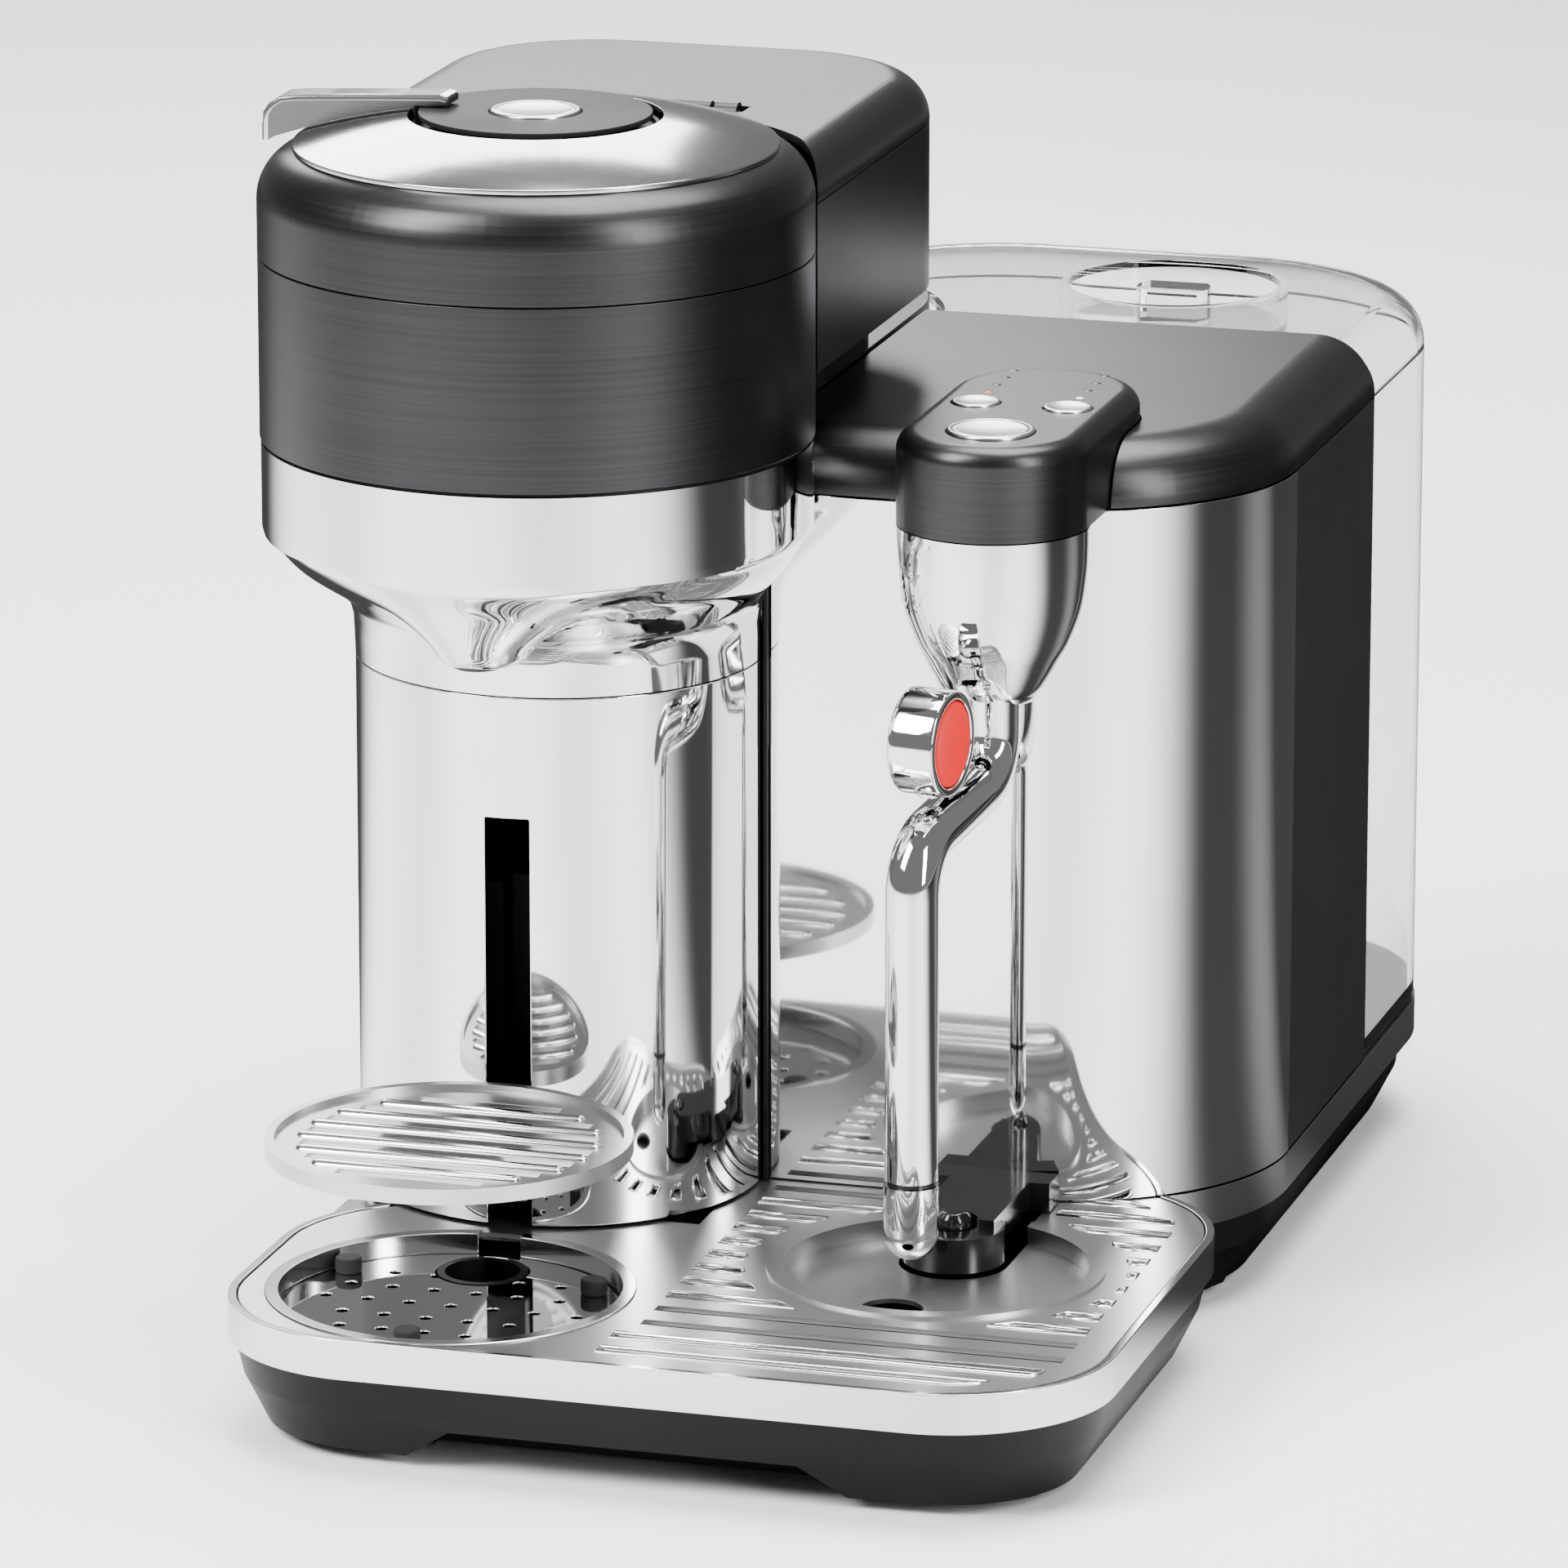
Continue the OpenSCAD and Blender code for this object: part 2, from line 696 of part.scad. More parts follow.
module lid_ring() {
    color("#3c3c3e") at_head() {
        difference() {
            translate([0, 0, 0]) rotate_extrude() difference() {
                union() {
                    intersection() {
                        translate([fillet_r, fillet_z]) circle(lid_fillet);
                        translate([fillet_r, lid_seam_h]) square([lid_fillet + 1, 40]);
                    }
                    translate([fillet_r - 8, lid_seam_h]) square([8, lid_top - lid_seam_h]);
                    translate([fillet_r, lid_seam_h]) square([lid_fillet, fillet_z - lid_seam_h]);
                }
                translate([fillet_r, fillet_z]) circle(lid_fillet - skin);
                translate([fillet_r - 10, lid_seam_h - 1]) square([10, lid_top - lid_seam_h - skin + 1]);
                translate([fillet_r - 1, lid_seam_h - 20]) square([lid_fillet - skin + 1, fillet_z - lid_seam_h + 20]);
            }
        }
        difference() {
            for (s = [-1, 1]) {
                translate([s * 18 - 5.9, hinge_y, hinge_z]) rotate([0, 90, 0]) cylinder(r = knuckle_r, h = 11.8);
                translate([s * 18 - 5.9, 60, hinge_z - 2.6]) cube([11.8, hinge_y - 60, 4]);
            }
            translate([-34, hinge_y, hinge_z]) rotate([0, 90, 0]) cylinder(r = pin_r + pin_fit, h = 68);
            translate([0, 0, fillet_z - 20]) rotate_extrude() union() {
                translate([fillet_r, 20]) circle(lid_fillet - 0.8);
                translate([fillet_r - 12, 0]) square([12, lid_top - fillet_z + 19]);
            }
        }
    }
}

module dome() {
    color("#e2e2e2") at_head() rotate_extrude() intersection() {
        difference() {
            translate([0, dome_low]) circle(dome_ball, $fn = 720);
            translate([0, dome_low]) circle(dome_ball - 1.2, $fn = 720);
        }
        translate([panel_r + 2.6, lid_seam_h + 20]) square([dome_r - panel_r - 2.6, 30]);
    }
}

module top_panel() {
    color("#2c2c2e") at_head() difference() {
        slab(lid_top + 7.1, lid_top + 8.5) circle(panel_r);
        slab(lid_top, lid_top + 12) circle(11.4 + run);
    }
}

module panel_post_part() {
    color("#1a1a1a") at_head() difference() {
        slab(lid_seam_h + 4, lid_top + 7.1) circle(24.6);
        slab(lid_seam_h + 12, lid_top + 8) circle(20);
    }
}

module start_button() {
    color("#d2d2d2") at_head() {
        slab(lid_top + 6, lid_top + 9.1) circle(11.4);
        slab(lid_seam_h + 22, lid_top + 6) circle(4);
    }
}

module lever_hub() {
    color("#1d1d1d") at_head() difference() {
        union() {
            slab(lid_top - 2.3, lid_top + 5.4) circle(panel_r + 2);
            slab(lid_top - 5, lid_top - 2.3) circle(fillet_r - 4);
            for (a = [30, 150, 270]) rotate([0, 0, a])
                translate([fillet_r - 11, -8, lid_seam_h + 8]) cube([5, 16, lid_top - lid_seam_h - 13]);
        }
        slab(lid_seam_h, lid_top + 20) circle(24.6 + run);
        slab(lid_top + 4, lid_top + 20) circle(panel_r + 0.6);
    }
}

module lever_profile() {
    difference() {
        union() {
            polygon([[21.6, lid_top + 6], [21.6, lid_top + 11], [24, lid_top + 12], [62, lid_top + 10],
                [66, lid_top + 9.4], [head_r - 0.6, lid_top + 6.4], [head_r + 0.9, lid_top + 2],
                [head_r + 0.9, fillet_z + 1.6], [60, fillet_z + 1.6], [54, lid_top + 2]]);
        }
        translate([fillet_r, fillet_z]) circle(lid_fillet + 0.5);
        translate([0, dome_low]) circle(dome_ball + 0.4, $fn = 720);
        translate([0, lid_top]) square([panel_r + 0.9, 8.5 + run]);
        translate([0, 0]) square([fillet_r, lid_top + 0.5]);
    }
}

module lever() {
    color("#dedede") at_head() difference() {
        union() {
            rotate([0, 0, 180]) translate([0, 4.3, 0]) rotate([90, 0, 0]) linear_extrude(8.6) lever_profile();
            rotate([0, 0, 180 - 7]) rotate_extrude(angle = 14)
                translate([panel_r + 0.9, lid_top + 5.4]) square([1.1, 3.6]);
        }
        translate([0, 0, lid_top + 2]) cylinder(r = 12.5, h = 6.8);
    }
}

module pierce_plate() {
    color("#b8b8b8") at_head() {
        slab(lid_seam_h + 1, lid_seam_h + 4) circle(40);
        for (a = [0, 120, 240]) rotate([0, 0, a])
            translate([19, 0, lid_seam_h - 5]) cylinder(r1 = 0.6, r2 = 2, h = 6);
    }
}

module lid_plate_part() {
    color("#202020") at_head() difference() {
        slab(lid_seam_h + 0.4, lid_seam_h + 3.4) circle(head_r - skin - 0.2);
        slab(lid_seam_h - 1, lid_seam_h + 6) circle(40.2);
    }
}

// cup stand -------------------------------------------------------------

module stand_plate() {
    color("#c2c2c2") at_head() translate([recess_x, recess_y, stand_h]) {
        rotate_extrude() translate([stand_r - 2.4, -4]) square([2.4, 4]);
        difference() {
            translate([0, 0, -3]) cylinder(r = stand_r - 2.4, h = 1.4);
            for (i = [-3:3]) {
                w = sqrt(pow(stand_r - 9, 2) - pow(i * 10.6, 2));
                translate([-w, i * 10.6 - 2, -5]) cube([2 * w, 4, 6]);
            }
        }
    }
}

module stand_arm() {
    color("#111111") at_head() {
        translate([drain_x - post_w / 2, recess_y + 14, stand_h - 9]) cube([post_w, 48, 5]);
        translate([recess_x, recess_y, stand_h - 9]) cylinder(r = 20, h = 6);
        translate([drain_x - post_w / 2, -28, stand_h - 32]) cube([post_w, 17, 28]);
    }
}

// steam head ------------------------------------------------------------

module steam_head() {
    color("#353537") at_head() difference() {
        union() {
            slab(cover_z, nose_top - 5) nose_plan(0);
            slab(cover_z, nose_top) nose_plan(5);
            for (y = [nose_y, nose_back]) translate([nose_x, y, nose_top - 5]) rotate_extrude()
                translate([nose_r - 5, 0]) circle(5);
            for (s = [-1, 1]) translate([nose_x + s * (nose_r - 5), nose_y, nose_top - 5])
                rotate([-90, 0, 0]) cylinder(r = 5, h = nose_back - nose_y);
        }
        slab(cover_z - 1, nose_top - 3) nose_plan(3);
        steam_holes();
    }
}

module steam_holes() {
    translate([nose_x, nose_y - 3, nose_top - 12]) cylinder(r = 11.2 + run, h = 20);
    for (s = [-1, 1]) {
        translate([nose_x + s * 12, nose_y + 27, nose_top - 12]) cylinder(r = 6.3 + run, h = 20);
        for (i = [0:3]) translate([nose_x + s * 12, nose_y + 39 + i * 8.6, nose_top - 12])
            cylinder(r = 1.2, h = 20);
    }
}

module steam_button() {
    color("#d0d0d0") at_head() translate([nose_x, nose_y - 3, 0]) {
        slab(nose_top - 5, nose_top + 0.8) circle(11.2);
        slab(nose_top - 11, nose_top - 5) circle(4);
    }
}

module small_button(s) {
    color("#d0d0d0") at_head() translate([nose_x + s * 12, nose_y + 27, 0]) {
        slab(nose_top - 5, nose_top + 0.6) circle(6.3);
        slab(nose_top - 11, nose_top - 5) circle(2.4);
    }
}

module temperature_button() {
    small_button(-1);
}

module texture_button() {
    small_button(1);
}

module level_lights() {
    color("#f2f2f2") at_head() for (s = [-1, 1], i = [0:3])
        translate([nose_x + s * 12, nose_y + 39 + i * 8.6, nose_top - 4]) cylinder(r = 1.2, h = 4.1);
}

module steam_funnel() {
    color("#e2e2e2") at_head() translate([nose_x, nose_y, 0]) difference() {
        rotate_extrude() polygon([
            [10.8, pivot_z - 4], [13.2, pivot_z - 4], [14, pivot_z], [17, pivot_z + 7], [20, pivot_z + 12],
            [22.6, pivot_z + 19], [24, pivot_z + 28], [nose_r, pivot_z + 36], [nose_r, cover_z - seam],
            [nose_r - 2, cover_z - seam], [nose_r - 2, pivot_z + 36], [21.6, pivot_z + 28],
            [20.2, pivot_z + 19], [17.6, pivot_z + 13], [14.6, pivot_z + 9], [13, pivot_z + 9],
            [12.4, pivot_z + 6], [12.2, pivot_z]]);
        translate([-3, -30, pivot_z - 5]) cube([6, 22, 10]);
        translate([-40, body_y - nose_y - seam, pivot_z - 10]) cube([80, 40, 60]);
    }
}

module wand_socket() {
    color("#141414") at_head() {
        translate([nose_x, wand_y - 2, 0]) difference() {
            slab(pivot_z + 9, pivot_z + 14) circle(12.6);
            slab(pivot_z, pivot_z + 20) circle(3);
        }
        difference() {
            for (s = [-1, 1])
                translate([nose_x + s * (ball_r + 1.2) - 0.9, wand_y - 2.4, pivot_z - 2.6])
                    cube([1.8, 4.8, 12.6]);
            wand_axis(pin_r - 0.1);
        }
        wand_axis(pin_r);
    }
}

module wand_axis(r) {
    translate([nose_x - ball_r - 2.1, wand_y, pivot_z]) rotate([0, 90, 0])
        cylinder(r = r, h = 2 * ball_r + 4.2);
}

module wand_frame() {
    at_head() translate([nose_x, wand_y, pivot_z]) rotate([0, 0, -wand_turn]) children();
}

// arc from straight down towards the front, in the tube's own plane
module bend(y, z, a0, r) {
    translate([0, y, z]) multmatrix([[0, 0, -1, 0], [1, 0, 0, 0], [0, -1, 0, 0], [0, 0, 0, 1]])
        rotate([0, 0, a0]) rotate_extrude(angle = bend_a) translate([bend_r, 0]) circle(r);
}

module wand_tube() {
    r = wand_r - 0.2;
    color("#dcdcdc") at_head() difference() {
        translate([nose_x, wand_y, pivot_z]) sphere(r = ball_r);
        translate([nose_x, wand_y, pivot_z + 3]) cylinder(r = 2.6, h = 20);
        wand_axis(pin_r + pin_fit);
    }
    color("#dcdcdc") wand_frame() {
        translate([0, 0, -neck_drop]) cylinder(r = r, h = neck_drop - 6);
        bend(-bend_r, -neck_drop, 0, r);
        translate([0, -bend_r * (1 - cos(bend_a)), -neck_drop - bend_r * sin(bend_a)])
            rotate([180 - bend_a, 0, 0]) cylinder(r = r, h = bend_run);
        for (s = [[1, 0], [-1, -reach]])
            translate([0, s[1] - s[0] * bend_r * (1 - cos(bend_a)),
                -neck_drop - bend_drop / 2 + s[0] * (bend_drop / 2 - bend_r * sin(bend_a))])
                    sphere(r = r + 0.06);
        bend(-reach + bend_r, -neck_drop - bend_drop, 180, r);
        translate([0, -reach, ring_z + 1.4 - pivot_z])
            cylinder(r = r, h = tube_top - ring_z - 1.4);
    }
}

module wand_ring() {
    color("#1a1a1a") wand_frame() translate([0, -reach, ring_z - 0.2 - pivot_z])
        cylinder(r = wand_r - 0.5, h = 1.6);
}

module wand_tip() {
    color("#dcdcdc") wand_frame() translate([0, -reach, -pivot_z]) difference() {
        union() {
            slab(tip_z + wand_r, ring_z - 0.2) circle(wand_r);
            translate([0, 0, tip_z + wand_r]) sphere(r = wand_r);
        }
        slab(tip_z - 1, ring_z - 6) circle(1.6);
    }
}

module knob_body() {
    color("#dcdcdc") wand_frame() {
        translate([-6.5, -knob_reach, knob_z - pivot_z]) rotate([0, 90, 0]) difference() {
            union() {
                cylinder(r = knob_r - 1.5, h = 13);
                translate([0, 0, 1.5]) cylinder(r = knob_r, h = 10);
            }
            translate([0, 0, 11.4]) cylinder(r = knob_r - 2.6, h = 3);
        }
        translate([0, -knob_reach, -neck_drop - bend_drop + 14])
            cylinder(r = 3, h = knob_z - knob_r - pivot_z + neck_drop + bend_drop - 13);
    }
}

module knob_insert() {
    color("#c4161c") wand_frame() translate([4.9, -knob_reach, knob_z - pivot_z]) rotate([0, 90, 0])
        cylinder(r = knob_r - 2.6 - 0.05, h = 2);
}

// milk temperature probe --------------------------------------------------

module probe_bridge() {
    color("#141414") at_head() difference() {
        union() {
            slab(deck_h + 0.5, deck_h + 8) {
                translate([dish_x - 16, body_y - 9]) square([32, 9]);
                translate([dish_x - 10.5, probe_y]) square([21, body_y - probe_y - 4]);
            }
            slab(deck_h - 3, deck_h + 6) translate([dish_x, probe_y]) circle(13);
        }
        slab(deck_h - 4, deck_h + 3.5) translate([dish_x, probe_y]) circle(probe_r - 1);
        slab(deck_h - 4, deck_h + 9) translate([dish_x, probe_y]) circle(6);
    }
}

module milk_probe() {
    color("#232323") at_head() translate([dish_x, probe_y, 0]) {
        slab(deck_h - 2.4, deck_h) circle(probe_r - 1.4);
        translate([0, 0, deck_h]) cylinder(r1 = 5.4, r2 = 4.6, h = 8);
        translate([0, 0, deck_h + 8]) cylinder(r1 = 4.6, r2 = 3.2, h = 2);
    }
}

// water tank --------------------------------------------------------------

module tank_walls_part() {
    color("#dfe7ea") at_head() difference() {
        slab(tank_z, tank_seam) tank_plan(0.4);
        slab(tank_z + tank_wall, tank_seam + 1) tank_plan(0.4 + tank_wall);
        slab(tank_z - 1, tank_z + 4) translate([valve_x, valve_y]) circle(9);
    }
}

module tank_lid() {
    t = tank_wall - 0.4;
    color("#e4eaec") at_head() {
        difference() {
            loaf_back(tank_left + 0.4, tank_y + 0.4, right_x - 0.4, rear_y - 0.4, body_corner,
                tank_seam + seam, tank_top, tank_top - tank_seam - 1);
            loaf_back(tank_left + 0.4 + t, tank_y + 0.4 + t, right_x - 0.4 - t, rear_y - 0.4 - t,
                body_corner - t, tank_seam, tank_top - t, tank_top - tank_seam - 1 - t);
            slab(tank_seam, tank_top + 1) translate([tower_x, tower_rear]) circle(column_r + 2);
            slab(tank_top - t - 1, tank_top + 1) translate([well_x, well_y]) circle(well_d / 2 - t);
        }
        difference() {
            slab(tank_seam + seam, tank_top - t)
                translate([tower_x, tower_rear]) circle(column_r + 2 + t);
            slab(tank_seam, tank_top) translate([tower_x, tower_rear]) circle(column_r + 2);
            translate([tower_x - 200, tank_y - 199 + 0.4, tank_seam]) cube([400, 199, 40]);
            translate([tower_x - 199.6, tank_y - 1, tank_seam]) cube([200, 199, 40]);
        }
        slab(tank_top - 12, tank_top - t) translate([well_x, well_y])
            ring2(well_d / 2, well_d / 2 - t);
        slab(tank_top - 12 - t, tank_top - 12) translate([well_x, well_y]) circle(well_d / 2);
        slab(tank_top - 12, tank_top - 1) translate([well_x, well_y]) intersection() {
            circle(10);
            translate([-10, -6]) square([20, 12]);
        }
    }
}

module valve_housing_part() {
    color("#9a9a9a") at_head() difference() {
        slab(tank_z + 0.3, tank_z + 12) translate([valve_x, valve_y]) circle(9);
        slab(tank_z - 1, tank_z + 9) translate([valve_x, valve_y]) circle(6.2);
        slab(tank_z, tank_z + 14) translate([valve_x, valve_y]) circle(2.4);
    }
}

module valve_poppet() {
    color("#303030") at_head() translate([valve_x, valve_y, 0]) {
        slab(tank_z + 1.4, tank_z + 6.4) circle(5.6);
        slab(tank_z + 6.4, tank_z + 15) circle(2);
    }
}

module valve_seat_part() {
    color("#1e1e1e") at_head() difference() {
        slab(deck_h - 12, deck_h) translate([valve_x, valve_y]) circle(14);
        slab(deck_h - 10, deck_h + 1) translate([valve_x, valve_y]) circle(11);
    }
}

module tank_deck_part() {
    color("#1a1a1a") at_head() slab(deck_h, deck_h + 1.4) difference() {
        tank_plan(1.2);
        translate([valve_x, valve_y]) circle(14);
    }
}

// inside ------------------------------------------------------------------

module pump() {
    color("#b9b9b9") at_head() translate([84, body_y + 72, deck_h + 24]) rotate([-90, 0, 0]) {
        cylinder(r = 20, h = 34);
        translate([0, 0, -20]) cylinder(r = 9, h = 20);
        translate([0, 0, 34]) cylinder(r = 11, h = 16);
    }
}

module steam_boiler() {
    color("#c9c2b2") at_head() translate([93, body_y + 98, deck_h + 99]) {
        cylinder(r = 30, h = 62);
        for (z = [10, 31, 52]) translate([0, 0, z]) cylinder(r = 32, h = 3);
    }
}

module brew_heater() {
    color("#b5b5b5") at_head() difference() {
        translate([-26, motor_y - 12, neck_top + 3]) cube([52, 52, 26]);
        translate([0, motor_y, neck_top]) cylinder(r = 10, h = 12);
        translate([-20, motor_y - 13, neck_top + 14]) cube([40, 54, 5]);
    }
}

module control_board() {
    color("#245339") at_head() translate([right_x - 12, body_y + 62, deck_h + 20]) {
        cube([1.6, 74, 120]);
        translate([-9, 8, 14]) cube([9, 22, 22]);
        translate([-14, 38, 14]) cube([14, 20, 24]);
        translate([-12, 12, 60]) cube([12, 14, 14]);
        translate([-7, 36, 70]) cube([7, 24, 30]);
    }
}

module drive_belt() {
    color("#1a1a1a") at_head() slab(pulley_z + 0.6, pulley_z + 5.6) difference() {
        hull_loop(15.4, 8.4);
        hull_loop(14.3, 7.3);
    }
}

module hull_loop(r0, r1) {
    a = asin((r0 - r1) / motor_y);
    near = [for (t = [180 - a:(180 + 2 * a) / 24:360 + a + 0.01]) [r0 * cos(t), r0 * sin(t)]];
    far = [for (t = [a:(180 - 2 * a) / 16:180 - a + 0.01]) [r1 * cos(t), motor_y + r1 * sin(t)]];
    polygon(concat(near, far));
}

// pieces made of several moulded or pressed shapes ---------------------------

module tray_tub() {
    tub_part();
    drain_cup_part();
}

module tray_rubber() {
    tray_feet_part();
}

module recess_bumps() {
    bumps_part();
}

module tray_grille() {
    grille_part();
    dish_part();
}

module base_shell() {
    base_shell_part();
    container_guide_part();
}

module unit_frame() {
    steam_frame_part();
    rear_panel_part();
    corner_trim_part();
}

module brew_chamber() {
    brew_bowl_part();
    gap_ring_part();
    spout_part();
}

module lid_floor() {
    lid_plate_part();
    panel_post_part();
}

module tank_seat() {
    valve_seat_part();
    tank_deck_part();
}

module tank_shell() {
    tank_walls_part();
    valve_housing_part();
}

tray_tub();
tray_rubber();
tray_band();
tray_grille();
recess_wall();
recess_disc();
recess_bumps();
base_shell();
base_feet();
base_band();
front_panel();
side_panel();
body_cover();
unit_frame();
tower_shell();
container_front();
container_bin();
funnel();
drum();
brew_chamber();
capsule_holder();
spin_motor();
motor_rotor();
drive_belt();
neck();
arm_body();
arm_cover();
hinge_pin();
lid_ring();
lid_floor();
dome();
top_panel();
start_button();
lever_hub();
lever();
pierce_plate();
stand_plate();
stand_arm();
steam_head();
steam_button();
temperature_button();
texture_button();
level_lights();
steam_funnel();
wand_socket();
wand_tube();
wand_ring();
wand_tip();
knob_body();
knob_insert();
probe_bridge();
milk_probe();
tank_shell();
tank_lid();
valve_poppet();
tank_seat();
pump();
steam_boiler();
brew_heater();
control_board();
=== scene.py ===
import bpy
import bmesh
import json
import math
import random
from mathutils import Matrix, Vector, noise
from mathutils.geometry import tessellate_polygon

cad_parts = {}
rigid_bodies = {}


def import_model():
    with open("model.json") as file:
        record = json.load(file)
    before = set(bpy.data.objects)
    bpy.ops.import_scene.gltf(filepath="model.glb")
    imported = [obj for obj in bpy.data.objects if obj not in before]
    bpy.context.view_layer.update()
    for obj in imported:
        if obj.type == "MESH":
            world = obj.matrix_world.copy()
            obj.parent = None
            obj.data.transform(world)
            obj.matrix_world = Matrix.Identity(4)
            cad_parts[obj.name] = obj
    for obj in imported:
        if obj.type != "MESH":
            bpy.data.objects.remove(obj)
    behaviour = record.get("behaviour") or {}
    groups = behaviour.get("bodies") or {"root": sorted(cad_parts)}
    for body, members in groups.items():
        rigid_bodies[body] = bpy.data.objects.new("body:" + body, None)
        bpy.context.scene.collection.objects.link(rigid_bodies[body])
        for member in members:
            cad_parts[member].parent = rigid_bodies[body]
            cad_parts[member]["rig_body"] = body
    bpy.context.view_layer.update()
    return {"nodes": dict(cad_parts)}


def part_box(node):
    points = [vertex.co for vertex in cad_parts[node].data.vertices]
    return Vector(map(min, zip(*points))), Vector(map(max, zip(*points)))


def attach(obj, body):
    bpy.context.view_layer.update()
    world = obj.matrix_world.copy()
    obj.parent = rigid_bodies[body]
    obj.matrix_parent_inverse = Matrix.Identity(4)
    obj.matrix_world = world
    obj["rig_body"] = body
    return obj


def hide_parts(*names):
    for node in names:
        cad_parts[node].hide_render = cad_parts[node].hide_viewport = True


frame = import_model()
nodes = frame["nodes"]
random.seed(7)
print("frame loaded")

# All outlines and profiles below are in millimetres, measured from the brew head's axis and the floor.
drumLow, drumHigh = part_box("drum")
headRadius = (drumHigh.x - drumLow.x) * 500
headX = (drumHigh.x + drumLow.x) / 2
headY = drumLow.y + headRadius / 1000


def nodeBox(name):
    low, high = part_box(name)
    x0, x1 = [(v - headX) * 1000 for v in (low.x, high.x)]
    y0, y1 = [(v - headY) * 1000 for v in (low.y, high.y)]
    return x0, y0, low.z * 1000, x1, y1, high.z * 1000


def toMetres(point):
    return (headX + point[0] / 1000, headY + point[1] / 1000, point[2] / 1000)


# shader groups shared by the finishes

def newGroup(name, inputs, outputs):
    group = bpy.data.node_groups.new(name, "ShaderNodeTree")
    for socketName, kind, value in inputs:
        socket = group.interface.new_socket(socketName, in_out="INPUT", socket_type=kind)
        if value is not None:
            socket.default_value = value
    for socketName, kind in outputs:
        group.interface.new_socket(socketName, in_out="OUTPUT", socket_type=kind)
    return group, group.nodes.new("NodeGroupInput"), group.nodes.new("NodeGroupOutput")


def mathNode(tree, operation, a, b=None, c=None):
    node = tree.nodes.new("ShaderNodeMath")
    node.operation = operation
    for index, value in enumerate((a, b, c)):
        if value is None:
            continue
        if isinstance(value, (int, float)):
            node.inputs[index].default_value = value
        else:
            tree.links.new(value, node.inputs[index])
    return node.outputs[0]


def noiseNode(tree, vector, scale, detail=2.0, roughness=0.5):
    node = tree.nodes.new("ShaderNodeTexNoise")
    tree.links.new(vector, node.inputs["Vector"])
    if isinstance(scale, (int, float)):
        node.inputs["Scale"].default_value = scale
    else:
        tree.links.new(scale, node.inputs["Scale"])
    node.inputs["Detail"].default_value = detail
    node.inputs["Roughness"].default_value = roughness
    return node.outputs["Fac"]


def scaledVector(tree, vector, scale):
    node = tree.nodes.new("ShaderNodeMapping")
    tree.links.new(vector, node.inputs["Vector"])
    node.inputs["Scale"].default_value = scale
    return node.outputs["Vector"]


def makeBrushedGroup():
    # fine lines round the sides, and lines along x on flat tops
    group, inside, outside = newGroup("brushedLines", [
        ("Fineness", "NodeSocketFloat", 1.0)], [
        ("Lines", "NodeSocketFloat"), ("Drift", "NodeSocketFloat")])
    coords = group.nodes.new("ShaderNodeTexCoord").outputs["Object"]
    scaled = group.nodes.new("ShaderNodeVectorMath")
    scaled.operation = "SCALE"
    group.links.new(coords, scaled.inputs[0])
    group.links.new(inside.outputs["Fineness"], scaled.inputs["Scale"])
    sideLines = noiseNode(group, scaledVector(group, scaled.outputs[0], (9, 9, 1500)), 1.0, 3.0, 0.6)
    topLines = noiseNode(group, scaledVector(group, scaled.outputs[0], (9, 1500, 9)), 1.0, 3.0, 0.6)
    normal = group.nodes.new("ShaderNodeNewGeometry").outputs["Normal"]
    split = group.nodes.new("ShaderNodeSeparateXYZ")
    group.links.new(normal, split.inputs[0])
    upward = mathNode(group, "ABSOLUTE", split.outputs["Z"])
    blendTop = mathNode(group, "SMOOTH_MAX", mathNode(group, "MULTIPLY_ADD", upward, 3.0, -1.8), 0.0, 0.1)
    blendTop = mathNode(group, "MINIMUM", blendTop, 1.0)
    mix = group.nodes.new("ShaderNodeMix")
    group.links.new(blendTop, mix.inputs["Factor"])
    group.links.new(sideLines, mix.inputs["A"])
    group.links.new(topLines, mix.inputs["B"])
    group.links.new(mix.outputs["Result"], outside.inputs["Lines"])
    group.links.new(noiseNode(group, coords, 14.0, 3.0), outside.inputs["Drift"])
    return group


def makeWearGroup():
    # faint wiping marks and dust that a handled surface keeps
    group, inside, outside = newGroup("handledSurface", [
        ("Size", "NodeSocketFloat", 30.0)], [
        ("Smudge", "NodeSocketFloat"), ("Speck", "NodeSocketFloat")])
    coords = group.nodes.new("ShaderNodeTexCoord").outputs["Object"]
    cloud = noiseNode(group, coords, inside.outputs["Size"], 4.0, 0.6)
    ramp = group.nodes.new("ShaderNodeMapRange")
    ramp.inputs["From Min"].default_value = 0.42
    ramp.inputs["From Max"].default_value = 0.72
    group.links.new(cloud, ramp.inputs["Value"])
    group.links.new(ramp.outputs["Result"], outside.inputs["Smudge"])
    speck = noiseNode(group, coords, 1400.0, 2.0)
    group.links.new(speck, outside.inputs["Speck"])
    return group


def makeGrainGroup():
    # the fine spark texture of moulded plastic
    group, inside, outside = newGroup("mouldedGrain", [
        ("Size", "NodeSocketFloat", 1600.0)], [
        ("Height", "NodeSocketFloat"), ("Patches", "NodeSocketFloat")])
    coords = group.nodes.new("ShaderNodeTexCoord").outputs["Object"]
    cells = group.nodes.new("ShaderNodeTexVoronoi")
    cells.feature = "SMOOTH_F1"
    group.links.new(coords, cells.inputs["Vector"])
    group.links.new(inside.outputs["Size"], cells.inputs["Scale"])
    group.links.new(cells.outputs["Distance"], outside.inputs["Height"])
    group.links.new(noiseNode(group, coords, 22.0, 3.0), outside.inputs["Patches"])
    return group


brushedLines = makeBrushedGroup()
handledSurface = makeWearGroup()
mouldedGrain = makeGrainGroup()


